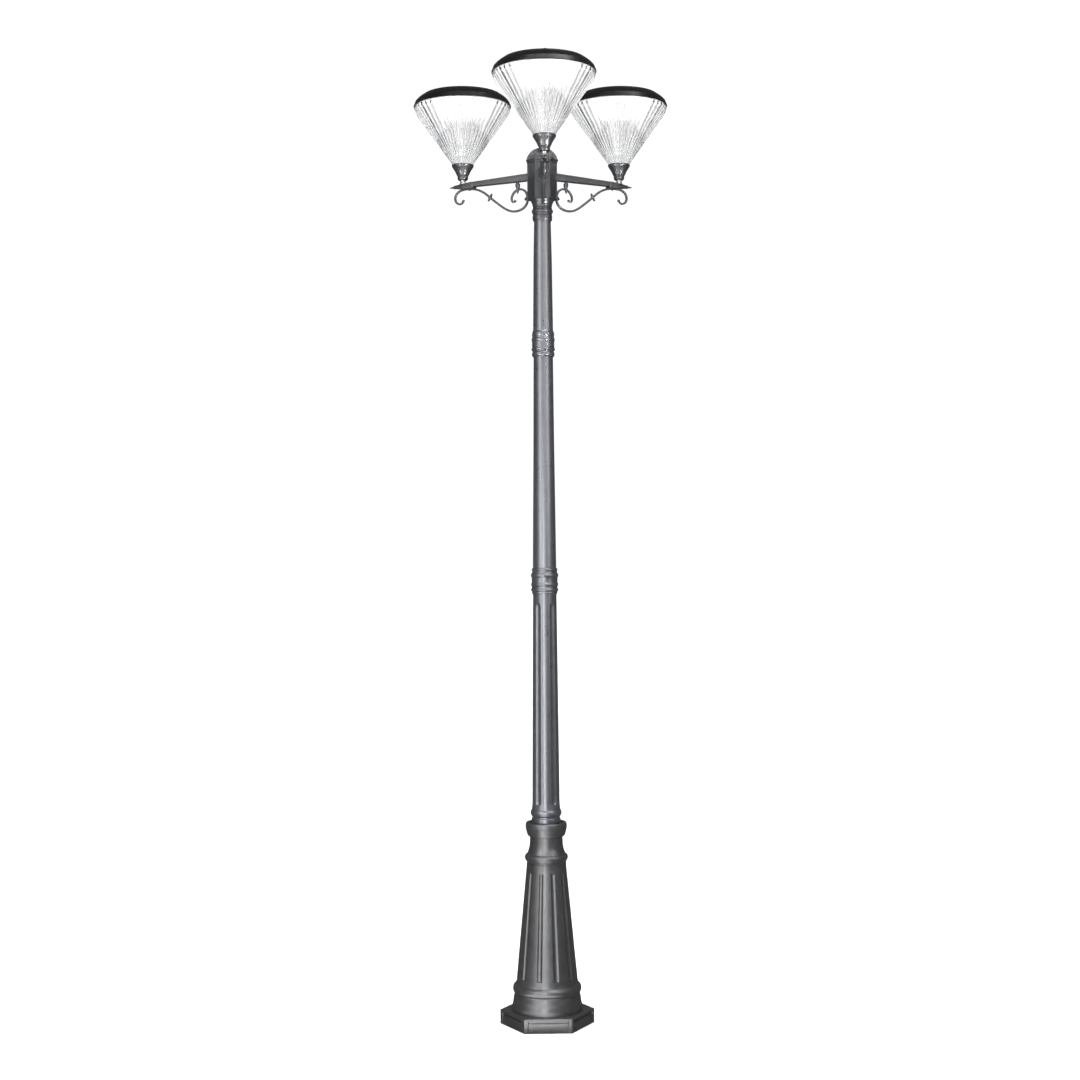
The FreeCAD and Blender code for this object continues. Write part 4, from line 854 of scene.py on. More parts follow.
hub_piece()
turned("dome_cap_screw", [
    [(0.02, 2957.0), (2.3, 2957.0)], [(2.3, 2957.0), (2.3, 3009.0)], [(2.3, 3009.0), (8.5, 3009.0)],
    [(8.5, 3009.0), (8.2, 3011.2), (6.4, 3013.0), (3.2, 3014.2), (1.5, 3014.5)],
    [(1.5, 3014.5), (1.5, 3012.6)], [(1.5, 3012.6), (0.02, 3012.6)], [(0.02, 3012.6), (0.02, 2957.0)]],
    MAT["black_steel"], "blackened_steel", ["dome_screw"], n=40, corner=0.2)

# ---------------------------------------------------------------------------
# Arms, scrolls and their fixings
# ---------------------------------------------------------------------------

SADDLE = (270.0, 326.0, 2897.0, 2916.0)
BOLT_Z = (2893.0, 2934.0)
PAD_Z = 2839.0


def along_u(stations, r=2.6, steps=4):
    """A skin of rounded rectangles: stations are (u, z low, z high, half width)."""
    path, secs = [], []
    for u, za, zb, hw in stations:
        path.append((Vector((u, 0, (za + zb) / 2)), Vector((0, 1, 0)), Vector((0, 0, 1))))
        secs.append(rounded_rect(hw, (zb - za) / 2, r, steps))
    return tube_data(path, lambda i: secs[i])


def arm_data():
    parts = []
    bar = []
    for k in range(25):
        t = k / 24.0
        u = HUB_FACE + 3.0 + (278.0 - HUB_FACE - 3.0) * t
        bar.append((u, 2900.5 + 1.5 * t, 2926.5 - 7.0 * t, 11.0 - 0.6 * t))
    parts.append(along_u(bar, 3.0))
    # a soft collar where the bar leaves its root plate
    parts.append(along_u([(HUB_FACE + 3.4, 2896.6, 2930.4, 12.8), (HUB_FACE + 4.6, 2897.0, 2930.0, 12.7), (HUB_FACE + 7.0, 2898.8, 2928.2, 11.9), (HUB_FACE + 10.5, 2900.2, 2926.6, 11.2)], 3.0))
    parts.append(box_data(HUB_FACE, HUB_FACE + 5.0, -13.0, 13.0, 2886.0, 2942.0, 1.6))
    s0, s1, z0, z1 = SADDLE
    parts.append(along_u([(s0, z0 + 1.2, z1 + 0.8, 12.4), (s0 + 0.5, z0 + 0.4, z1 + 1.8, 13.2), (s0 + 1.8, z0, z1 + 2.9, 13.5), (s0 + 6, z0, z1 + 3.2, 13.5),
                          (s0 + 24, z0, z1 + 1.7, 13.5), (HEAD_U * 1000 - 12.2, z0, z1 + 0.9, 13.5), (HEAD_U * 1000 - 11.6, z0, z1 + 0.2, 13.5), (s1 - 2.4, z0, z1 + 0.0, 13.5),
                          (s1 - 1.0, z0 + 0.4, z1 - 0.5, 13.1), (s1, z0 + 1.4, z1 - 1.8, 11.9)], 2.2))
    parts.append(along_u([(s1 - 2, 2899.0, 2915.4, 8.5), (331.0, 2899.8, 2915.0, 8.4), (336.0, 2900.5, 2914.6, 8.1), (343.0, 2901.4, 2913.7, 7.6), (347.6, 2902.2, 2912.9, 7.1),
                          (349.3, 2902.8, 2912.3, 6.6), (350.0, 2903.6, 2911.6, 5.6)], 3.0))
    prof = rounded([Vector(p) for p in ((0.05, 347.2), (4.9, 347.2), (4.9, 349.2), (6.4, 349.8), (6.7, 351.4), (6.2, 353.0), (4.8, 353.8), (4.1, 356.4), (3.0, 362.6), (1.9, 368.6), (1.2, 372.0), (0.6, 373.3), (0.05, 373.5))], 0.4, closed=True)
    v, f = lathe_data(prof, 28)
    m = Matrix.Translation((0, 0, 2907.6 * MM)) @ Matrix.Rotation(math.radians(90), 4, "Y")
    parts.append(([m @ p for p in v], f))
    return join_data(parts)


SCROLL_PATH = [
    (315.8, 2856.5), (320.1, 2851.0), (327.3, 2846.8), (336.5, 2848.0), (345.6, 2855.0), (349.8, 2866.0),
    (347.1, 2878.0), (339.4, 2887.5), (324.9, 2894.4), (305.2, 2896.8), (288.3, 2896.2), (272.9, 2894.0),
    (250.8, 2887.5), (229.6, 2876.0), (209.3, 2860.0), (189.6, 2844.5), (169.8, 2829.5), (150.6, 2816.0),
    (130.3, 2805.5), (111.1, 2801.2), (92.8, 2802.2), (76.4, 2808.0), (64.8, 2817.5), (58.5, 2830.0),
    (58.0, 2845.0), (62.5, 2860.5), (71.5, 2870.5), (84.0, 2875.4), (97.5, 2874.4), (109.5, 2867.6),
    (117.5, 2857.5), (120.8, 2846.0), (118.6, 2836.2), (112.5, 2833.6), (107.0, 2836.8),
]


def ball_data(c, ra, rb, rc, nu=20, nv=12):
    """A closed ellipsoid round c, as rings from pole to pole along Y."""
    verts = []
    for i in range(nv + 1):
        a = math.pi * i / nv
        rr = max(math.sin(a), 0.02)
        for j in range(nu):
            b = 2 * math.pi * j / nu
            verts.append(Vector((c.x + ra * rr * math.cos(b), c.y - rb * math.cos(a), c.z + rc * rr * math.sin(b))) * MM)
    faces = grid_faces(nv + 1, nu, False, True)
    faces.append(tuple(reversed(range(nu))))
    faces.append(tuple(nv * nu + j for j in range(nu)))
    return verts, faces


def scroll_data():
    parts = []
    pts = spline([(u, z) for u, z in SCROLL_PATH], 7)
    n = len(pts)
    path, secs = [], []
    for i, p in enumerate(pts):
        a, b = pts[max(0, i - 1)], pts[min(n - 1, i + 1)]
        d = (b - a).normalized()
        s = i / (n - 1)
        k = 0.74 + 0.26 * min(1.0, s / 0.13, (1 - s) / 0.13)
        path.append((Vector((p.x, 0, p.y)), Vector((-d.y, 0, d.x)), Vector((0, 1, 0))))
        secs.append(ellipse(3.8 * k, 4.5 * (0.8 + 0.2 * k), 20, 3.0))
    # nothing stands above the saddle's underside
    v, f = tube_data(path, lambda i: secs[i])
    for q in v:
        if 0.269 < q.x < 0.327 and q.z > 2.8969:
            q.z = 2.8969
    parts.append((v, f))
    for (u, z), r in ((SCROLL_PATH[0], 4.9), (SCROLL_PATH[-1], 4.6)):
        parts.append(ball_data(Vector((u, 0, z)), r, 5.4, r))
    # the leaf across the bar
    d = Vector((189.6 - 229.6, 0, 2844.5 - 2876.0)).normalized()
    q = Vector((-d.z, 0, d.x))
    c = Vector((207.4, 0, 2858.5))
    path, secs = [], []
    for t, wide, thick, lean in ((-14.5, 1.2, 2.2, -1.9), (-13.6, 2.1, 3.4, -1.7), (-11.5, 2.9, 4.4, -1.3), (-8.5, 3.4, 5.3, -0.8), (-5.0, 3.5, 5.9, -0.2), (-4.2, 4.6, 6.1, 0.0),
                                (0.0, 4.9, 6.3, 0.0), (4.2, 4.6, 6.1, 0.0), (5.0, 3.5, 5.9, 0.2), (8.5, 3.4, 5.3, 0.8), (11.5, 2.9, 4.4, 1.3), (13.6, 2.1, 3.4, 1.7), (14.5, 1.2, 2.2, 1.9)):
        path.append((c + q * t + d * lean, d, Vector((0, 1, 0))))
        secs.append(ellipse(wide, thick, 20, 2.4))
    parts.append(tube_data(path, lambda i: secs[i]))
    # the bud between the small curl and the arm
    path, secs = [], []
    for z, u, wide, thick in ((2861.0, 97.3, 0.9, 1.4), (2862.2, 97.2, 1.9, 2.6), (2866.0, 96.8, 3.0, 3.8), (2871.0, 96.2, 3.7, 4.6), (2875.0, 95.9, 4.4, 5.0), (2880.0, 95.9, 6.4, 5.4), (2884.5, 96.0, 8.1, 5.6),
                              (2888.5, 96.2, 9.0, 5.7), (2892.0, 96.4, 9.2, 5.7), (2895.2, 96.6, 8.2, 5.6), (2897.6, 97.0, 6.0, 5.4), (2899.0, 97.2, 4.9, 5.2), (2901.2, 97.4, 5.4, 5.4)):
        path.append((Vector((u, 0, z)), Vector((1, 0, 0)), Vector((0, 1, 0))))
        secs.append(ellipse(wide, thick, 22, 2.2))
    parts.append(tube_data(path, lambda i: secs[i]))
    # the pad against the hub
    parts.append(along_u([(HUB_FACE, PAD_Z - 5.0, PAD_Z + 11.0, 6.0), (50.0, PAD_Z - 5.0, PAD_Z + 11.0, 6.0), (60.0, PAD_Z - 4.6, PAD_Z + 9.0, 6.0), (63.5, PAD_Z - 4.2, PAD_Z + 6.0, 5.6),
                          (65.8, PAD_Z - 3.6, PAD_Z + 3.4, 5.0), (66.5, PAD_Z - 3.0, PAD_Z + 2.6, 4.2)], 1.6))
    return join_data(parts)


def screw_head_data(r, t, sock, n=36):
    """A button head on Z with a hexagon socket, its seat at z = 0."""
    pts = [(0.02, -0.6), (r * 0.5, -0.6), (r * 0.5, 0.0), (r, 0.0), (r, t * 0.16), (r * 0.95, t * 0.46), (r * 0.82, t * 0.74), (r * 0.6, t * 0.93), (r * 0.44, t), (sock, t), (sock * 0.98, t * 0.35), (0.02, t * 0.3)]
    verts = []
    pr = rounded([Vector(p) for p in pts], 0.12, closed=True)
    for p in pr:
        for j in range(n):
            th = 2 * math.pi * j / n
            rr = p.x
            if p.y > t * 0.29 and rr < sock * 1.02:
                a = (math.degrees(th) % 60.0) - 30.0
                rr = min(rr, sock) * 0.93 / math.cos(math.radians(a)) * (rr / max(sock, 1e-6) if rr < sock * 0.9 else 1.0)
            verts.append(Vector((rr * math.cos(th), rr * math.sin(th), p.y)) * MM)
    return verts, grid_faces(len(pr), n, True, True)


arm_v, arm_f = arm_data()
scr_v, scr_f = scroll_data()
out_rot = Matrix.Rotation(math.radians(90), 4, "Y")
bolt_parts, scroll_screw_parts = [], []
for side, deg in ARM_DIRS.items():
    m = arm_matrix(deg)
    o = finish_mesh("arm_casting_" + side, arm_v, arm_f, MAT["powder_arm"], sharp=50, transform=m)
    piece(o, "powder_coat", "arm_" + side)
    o = finish_mesh("scroll_casting_" + side, scr_v, scr_f, MAT["powder_arm"], sharp=60, transform=m)
    piece(o, "powder_coat", "scroll_" + side)
    for z in BOLT_Z:
        v, f = screw_head_data(5.2, 3.4, 2.1)
        mm = m @ Matrix.Translation(((HUB_FACE + 5.0) * MM, 0, z * MM)) @ out_rot
        bolt_parts.append(([mm @ p for p in v], f))
        path = [(Vector((u, 0, z)), Vector((0, 1, 0)), Vector((0, 0, 1))) for u in (27.0, 27.5, HUB_FACE + 4.8)]
        v, f = tube_data(path, lambda i: ellipse(2.9 if i else 2.4, 2.9 if i else 2.4, 20))
        bolt_parts.append(([m @ p for p in v], f))
        path = [(Vector((u, 0, z)), Vector((0, 1, 0)), Vector((0, 0, 1))) for u in (31.6, 36.6)]
        v, f = tube_data(path, lambda i: ellipse(5.6, 5.6, 6))
        bolt_parts.append(([m @ p for p in v], f))
    v, f = screw_head_data(4.4, 2.6, 1.8)
    mm = m @ Matrix.Translation((66.55 * MM, 0, PAD_Z * MM)) @ out_rot
    scroll_screw_parts.append(([mm @ p for p in v], f))
    path = [(Vector((u, 0, PAD_Z)), Vector((0, 1, 0)), Vector((0, 0, 1))) for u in (37.4, 38.0, 66.0)]
    v, f = tube_data(path, lambda i: ellipse(2.4 if i else 1.9, 2.4 if i else 1.9, 18))
    scroll_screw_parts.append(([m @ p for p in v], f))
    v, f = screw_head_data(4.2, 2.4, 1.7)
    mm = m @ Matrix.Translation((290.0 * MM, 0, 2892.6 * MM)) @ Matrix.Rotation(math.pi, 4, "X")
    scroll_screw_parts.append(([mm @ p for p in v], f))
    path = [(Vector((290.0, 0, z)), Vector((1, 0, 0)), Vector((0, 1, 0))) for z in (2892.9, 2907.4, 2908.0)]
    v, f = tube_data(path, lambda i: ellipse(2.2 if i < 2 else 1.8, 2.2 if i < 2 else 1.8, 18))
    scroll_screw_parts.append(([m @ p for p in v], f))
v, f = join_data(bolt_parts)
piece(finish_mesh("arm_bolt_set", v, f, MAT["black_steel"], sharp=35), "blackened_steel", "arm_bolts")
v, f = join_data(scroll_screw_parts)
piece(finish_mesh("scroll_screw_set", v, f, MAT["black_steel"], sharp=35), "blackened_steel", "scroll_screws")

# ---------------------------------------------------------------------------
# Heads
# ---------------------------------------------------------------------------

STUD = [
    [(0.02, 2903.0), (5.4, 2903.0)], [(5.4, 2903.0), (6.0, 2903.8)], [(6.0, 2903.8), (6.0, 2916.2)], [(6.0, 2916.2), (10.6, 2916.2)],
    [(10.6, 2916.2), (10.6, 2918.5)], [(10.6, 2918.5), (9.6, 2920.5), (9.4, 2925.0), (10.0, 2929.0)],
    [(10.0, 2929.0), (6.0, 2929.0)], [(6.0, 2929.0), (6.0, 2946.0)], [(6.0, 2946.0), (0.02, 2946.0)], [(0.02, 2946.0), (0.02, 2903.0)],
]
HOLDER = [
    [(6.05, 2929.0), (14.6, 2929.0)],
    [(14.6, 2929.0), (16.6, 2931.0), (18.0, 2934.0), (18.8, 2938.0), (18.6, 2942.0)],
    [(18.6, 2942.0), (18.2, 2943.5)],
    [(18.2, 2943.5), (20.6, 2945.5)],
    [(20.6, 2945.5), (24.0, 2953.0), (27.8, 2961.0), (32.2, 2968.0), (36.8, 2975.0), (38.4, 2979.0)],
    [(38.4, 2979.0), (38.8, 2981.5), (38.0, 2983.5), (36.6, 2984.2)],
    [(36.6, 2984.2), (34.6, 2984.2)],
    [(34.6, 2984.2), (34.6, 2972.0)],
    [(34.6, 2972.0), (27.0, 2972.0)],
    [(27.0, 2972.0), (17.0, 2954.0)],
    [(17.0, 2954.0), (15.0, 2946.2)],
    [(15.0, 2946.2), (6.05, 2946.2)],
    [(6.05, 2946.2), (6.05, 2929.0)],
]
CAP = [
    [(167.8, 3186.0), (171.0, 3186.0)],
    [(171.0, 3186.0), (171.5, 3187.2), (171.5, 3189.0)],
    [(171.5, 3189.0), (170.6, 3190.0)],
    [(170.6, 3190.0), (165.4, 3203.6)],
    [(165.4, 3203.6), (162.8, 3206.6), (158.8, 3210.8), (153.8, 3215.2), (148.6, 3219.1), (144.0, 3222.2), (140.6, 3224.0)],
    [(140.6, 3224.0), (139.2, 3224.0)],
    [(139.2, 3224.0), (137.8, 3226.2), (135.2, 3228.2), (131.6, 3229.6), (128.0, 3230.3), (124.0, 3230.5)],
    [(124.0, 3230.5), (105.4, 3230.5)],
    [(105.4, 3230.5), (105.4, 3226.1)],
    [(105.4, 3226.1), (0.05, 3226.1)],
    [(0.05, 3226.1), (0.05, 3223.1)],
    [(0.05, 3223.1), (108.0, 3223.1)],
    [(108.0, 3223.1), (108.0, 3227.5)],
    [(108.0, 3227.5), (126.0, 3227.5)],
    [(126.0, 3227.5), (133.6, 3223.4)],
    [(133.6, 3223.4), (146.4, 3216.6)],
    [(146.4, 3216.6), (156.4, 3208.4)],
    [(156.4, 3208.4), (161.8, 3202.2)],
    [(161.8, 3202.2), (164.0, 3196.6)],
    [(164.0, 3196.6), (163.5, 3193.6)],
    [(163.5, 3193.6), (167.8, 3193.6)],
    [(167.8, 3193.6), (167.8, 3186.0)],
]
RIBS = 45
PER = 20
RIB_W = 0.26


def diffuser_data():
    """The clear cone: broad shallow flutes outside, and inside a thin fin between each pair whose crest runs straight to the lid."""
    n = RIBS * PER
    crest = lambda z: 34.5 + (163.0 - 34.5) * (z - 2989.6) / (3183.0 - 2989.6)
    outer, inner = [], []
    steps = 30
    for k in range(steps + 1):
        t = k / steps
        outer.append((38.2 + (160.0 - 38.2) * t, 2987.4 + (3158.5 - 2987.4) * t, min(1.0, t * 9.0, (1 - t) * 14.0)))
        inner.append((35.0 + (157.2 - 35.0) * t, 2989.6 + (3160.4 - 2989.6) * t, min(1.0, t * 9.0)))
    rows = [(34.4, 2972.2, 0, "o"), (34.4, 2984.2, 0, "o"), (34.9, 2985.0, 0, "o")]
    rows += [(r, z, a, "o") for r, z, a in outer]
    rows += [(q.x, q.y, 0, "o") for q in spline([(160.0, 3158.5), (163.4, 3164.0), (166.4, 3170.6), (168.4, 3178.0), (169.3, 3185.3)], 3)[1:]]
    rows += [(168.9, 3185.9, 0, "o"), (167.6, 3186.0, 0, "o"), (167.6, 3190.6, 0, "o"), (167.2, 3191.0, 0, "o"), (165.8, 3191.0, 0, "i"), (165.4, 3190.6, 0, "i"), (165.4, 3185.8, 0, "i")]
    rim = spline([(165.4, 3185.8), (164.8, 3180.2), (163.2, 3173.4), (160.6, 3166.4), (157.2, 3160.4)], 4)[1:-1]
    rows += [(q.x, q.y, max(0.0, min(1.0, (3182.6 - q.y) / 12.0)), "i") for q in rim]
    rows += [(r, z, a, "i") for r, z, a in reversed(inner)]
    rows += [(33.8, 2988.4, 0, "i"), (31.2, 2985.4, 0, "i"), (31.2, 2972.2, 0, "i"), (31.6, 2972.0, 0, "i"), (34.0, 2972.0, 0, "i")]
    verts = []
    for r, z, a, where in rows:
        size = (r / 168.0)
        for j in range(n):
            ph = (j % PER) / PER
            th = 2 * math.pi * (j / PER) / RIBS
            if where == "o":
                dr = -a * (0.10 + 0.45 * size) * (0.5 + 0.5 * math.cos(2 * math.pi * ph))
            else:
                t = abs(ph - 0.5) / RIB_W
                bump = 0.5 + 0.5 * math.cos(math.pi * t) if t < 1 else 0.0
                dr = -a * (r - crest(z)) * bump
            q = r + dr
            verts.append(Vector((q * math.cos(th) * MM, q * math.sin(th) * MM, z * MM)))
    return verts, grid_faces(len(rows), n, True, True)


# how much of the light behind each fin shows through it, as painted shade standing in for the dark streaks that
# refraction through the ribs makes, by the fin's place round the cone (degrees from the viewer's side, left negative)
FIN_PAINTED_CLEAR = {-84: 0.62, -76: 0.50, -68: 0.48, -60: 0.03, -52: 0.34, -44: 0.52, -36: 0.80, -28: 0.56, -20: 0.70, -12: 0.80, -4: 0.62,
             4: 0.68, 12: 0.46, 20: 0.76, 28: 0.52, 36: 0.84, 44: 0.36, 52: 0.44, 60: 0.08, 68: 0.50, 76: 0.48, 84: 0.62}


def fin_painted_shade(co):
    """Painted shade on the fins, standing in for the dark streaks that refraction through the ribs makes: zero on the
    flats, and up to one on the darkest fin's flanks.
    """
    r, z = math.hypot(co.x, co.y) / MM, co.z / MM
    if z < 2989.0 or z > 3183.0:
        return 0.0
    wall = 35.0 + (157.2 - 35.0) * (z - 2989.6) / (3160.4 - 2989.6)
    if r > wall + 1.6:
        return 0.0
    step = 360.0 / RIBS
    a = math.degrees(math.atan2(co.y, co.x)) / step - 0.5
    off = abs(a - round(a)) / (RIB_W * 0.92)
    if off >= 1.0:
        return 0.0
    place = (round(a) + 0.5) * step
    shade = 1.0 - FIN_PAINTED_CLEAR.get(int(round(place)), 0.88)
    # the painted shade of the front fins fades out towards the top
    if abs(place) < 40:
        shade *= max(0.0, min(1.0, (3134.0 - z) / 45.0))
    clear = 1.0 - shade * max(0.0, min(1.0, (0.86 - off) / 0.30))
    return 1.0 - clear * clear


def clear_material():
    m, t, p, co = material("clear_diffuser")
    fin_shade_node = t.new("ShaderNodeAttribute")
    fin_shade_node.attribute_name = "fin"
    # the fin attribute mixes painted shade into the clear colour on the fins
    t.put(p.inputs["Base Color"], t.mix(fin_shade_node.outputs["Fac"], (0.985, 0.987, 0.992), (0.0, 0.0, 0.006)))
    p.inputs["Transmission Weight"].default_value = 1.0
    p.inputs["IOR"].default_value = 1.49
    n1 = t.noise(co, 24.0, 2.0, 0.5)
    n2 = t.noise(co, 14.0, 3.0, 0.5)
    t.put(p.inputs["Roughness"], t.maprange(n2, 0.3, 0.7, 0.11, 0.16))
    t.put(p.inputs["Normal"], t.bump(n1, 0.03, 0.0006))
    out = [n for n in m.node_tree.nodes if n.type == "OUTPUT_MATERIAL"][0]
    path = t.new("ShaderNodeLightPath")
    see = t.new("ShaderNodeBsdfTransparent")
    see.inputs[0].default_value = (0.97, 0.97, 0.97, 1.0)
    mx = t.new("ShaderNodeMixShader")
    t.put(mx.inputs[0], t.math("MAXIMUM", path.outputs["Is Shadow Ray"], path.outputs["Is Diffuse Ray"]))
    t.link(p.outputs[0], mx.inputs[1])
    t.link(see.outputs[0], mx.inputs[2])
    t.link(mx.outputs[0], out.inputs[0])
    return m


def panel_material():
    """Dark blue cells under glass, with fine silver fingers and two bars to a cell."""
    m, t, p, co = material("solar_cells")
    uvn = t.new("ShaderNodeUVMap", uv_map="local")
    sep = t.new("ShaderNodeSeparateXYZ")
    t.put(sep.inputs[0], uvn.outputs[0])

    def line(v, pitch, width, phase=0.0):
        fr = t.math("FRACT", t.math("ADD", t.math("MULTIPLY", v, 1.0 / pitch), phase + 100.0))
        return t.math("LESS_THAN", t.math("ABSOLUTE", t.math("SUBTRACT", fr, 0.5)), width / pitch / 2)

    x, y = sep.outputs[0], sep.outputs[1]
    gap = t.math("MAXIMUM", line(x, 0.0262, 0.0012), line(y, 0.0524, 0.0012))
    fingers = line(y, 0.0019, 0.00016)
    bars = line(x, 0.0131, 0.0009, 0.25)
    cell = t.mix(t.noise(co, 30.0, 3.0, 0.6), (0.006, 0.010, 0.035), (0.012, 0.018, 0.055))
    col = t.mix(t.math("MULTIPLY", fingers, 0.35), cell, (0.35, 0.36, 0.38))
    col = t.mix(t.math("MULTIPLY", bars, 0.85), col, (0.55, 0.56, 0.57))
    col = t.mix(gap, col, (0.02, 0.02, 0.022))
    r = t.new("ShaderNodeVectorMath", operation="LENGTH")
    t.put(r.inputs[0], uvn.outputs[0])
    rim = t.math("GREATER_THAN", r.outputs["Value"], 0.0985)
    col = t.mix(rim, col, (0.012, 0.012, 0.014))
    t.put(p.inputs["Base Color"], col)
    t.put(p.inputs["Roughness"], t.maprange(t.noise(co, 80.0, 4.0, 0.6), 0.3, 0.7, 0.10, 0.2))
    p.inputs["Coat Weight"].default_value = 1.0
    p.inputs["Coat Roughness"].default_value = 0.05
    t.put(p.inputs["Normal"], t.bump(t.noise(co, 500.0, 2.0, 0.5), 0.05, 0.0002))
    return m


def led_material():
    """White solder resist, with a faint fine relief."""
    m, t, p, co = material("led_board_white")
    a = t.noise(co, 25.0, 3.0, 0.6)
    t.put(p.inputs["Base Color"], t.mix(a, (0.84, 0.85, 0.83), (0.92, 0.92, 0.90)))
    t.put(p.inputs["Roughness"], t.maprange(a, 0.3, 0.7, 0.22, 0.34))
    t.put(p.inputs["Normal"], t.bump(t.noise(co, 300.0, 2.0, 0.5), 0.06, 0.0002))
    return m


def chip_material():
    m, t, p, co = material("led_chip_phosphor")
    a = t.noise(co, 900.0, 2.0, 0.5)
    t.put(p.inputs["Base Color"], t.mix(a, (0.80, 0.62, 0.12), (0.92, 0.76, 0.22)))
    t.put(p.inputs["Roughness"], t.maprange(a, 0.3, 0.7, 0.25, 0.4))
    p.inputs["Coat Weight"].default_value = 0.6
    t.put(p.inputs["Normal"], t.bump(a, 0.1, 0.0001))
    return m


MAT["clear"] = clear_material()
MAT["panel"] = panel_material()
MAT["led"] = led_material()
MAT["chip"] = chip_material()

BUTTON_U = 117.0
# each cone is turned so that its painted fin shade lines up with the camera the same way on every head
FACING = {"front": 1.5, "left": 123.9, "right": -121.1}
v_holder, f_holder = lathe_data(rounded(profile(HOLDER), 0.5, closed=True), 112)
v_diff, f_diff = diffuser_data()
v_cap, f_cap = lathe_data(rounded(profile(CAP, 8), 0.5, closed=True), 224)
REFLECTOR = [[(54.0, 3186.6), (64.0, 3186.6)], [(64.0, 3186.6), (64.0, 3184.0)], [(64.0, 3184.0), (161.0, 3184.0)], [(161.0, 3184.0), (162.2, 3185.0)],
             [(162.2, 3185.0), (162.2, 3189.0)], [(162.2, 3189.0), (54.0, 3189.0)], [(54.0, 3189.0), (54.0, 3186.6)]]
v_ref, f_ref = lathe_data(rounded(profile(REFLECTOR), 0.4, closed=True), 144)
# two raised rings stiffen the white plate
for r in (84.0, 124.0):
    pr = rounded([Vector(p) for p in ((r - 1.4, 3184.3), (r + 1.4, 3184.3), (r + 0.8, 3183.3), (r - 0.8, 3183.3))], 0.3, closed=True)
    v_ref, f_ref = join_data([(v_ref, f_ref), lathe_data(pr, 144)])
v_led, f_led = lathe_data(rounded([Vector(p) for p in ((0.02, 3185.0), (62.0, 3185.0), (62.0, 3186.6), (0.02, 3186.6))], 0.3, closed=True), 96)
chip_base, chip_lens = [], []
for ring_r, count in ((52.0, 18), (36.0, 12), (20.0, 6)):
    for k in range(count):
        a = 2 * math.pi * k / count
        x, y = ring_r * math.cos(a), ring_r * math.sin(a)
        path = [(Vector((x, y, z)), Vector((math.cos(a), math.sin(a), 0)), Vector((-math.sin(a), math.cos(a), 0))) for z in (3184.15, 3184.3, 3185.05)]
        chip_base.append(tube_data(path, lambda i: rounded_rect(2.1 if i == 0 else 2.25, 2.1 if i == 0 else 2.25, 0.4, 2)))
        path = [(Vector((x, y, z)), Vector((1, 0, 0)), Vector((0, 1, 0))) for z in (3184.02, 3184.06, 3184.2)]
        chip_lens.append(tube_data(path, lambda i: ellipse((1.2, 1.6, 1.75)[i], (1.2, 1.6, 1.75)[i], 16)))
BUTTON = [[(0.02, 3221.5), (2.2, 3221.5)], [(2.2, 3221.5), (2.2, 3225.1)], [(2.2, 3225.1), (9.0, 3225.1)], [(9.0, 3225.1), (9.0, 3227.1)], [(9.0, 3227.1), (6.7, 3227.1)],
          [(6.7, 3227.1), (6.7, 3232.1)], [(6.7, 3232.1), (6.3, 3233.1), (5.2, 3233.5)], [(5.2, 3233.5), (3.9, 3233.3), (3.6, 3232.9)], [(3.6, 3232.9), (0.02, 3232.8)], [(0.02, 3232.8), (0.02, 3221.5)]]
v_btn, f_btn = lathe_data(rounded(profile(BUTTON), 0.3, closed=True), 56)
v_btn = [p + Vector((BUTTON_U * MM, 0, 0)) for p in v_btn]
stud_parts, capscrew_parts, holder_screw_parts = [], [], []
v_stud, f_stud = lathe_data(rounded(profile(STUD), 0.3, closed=True), 56)
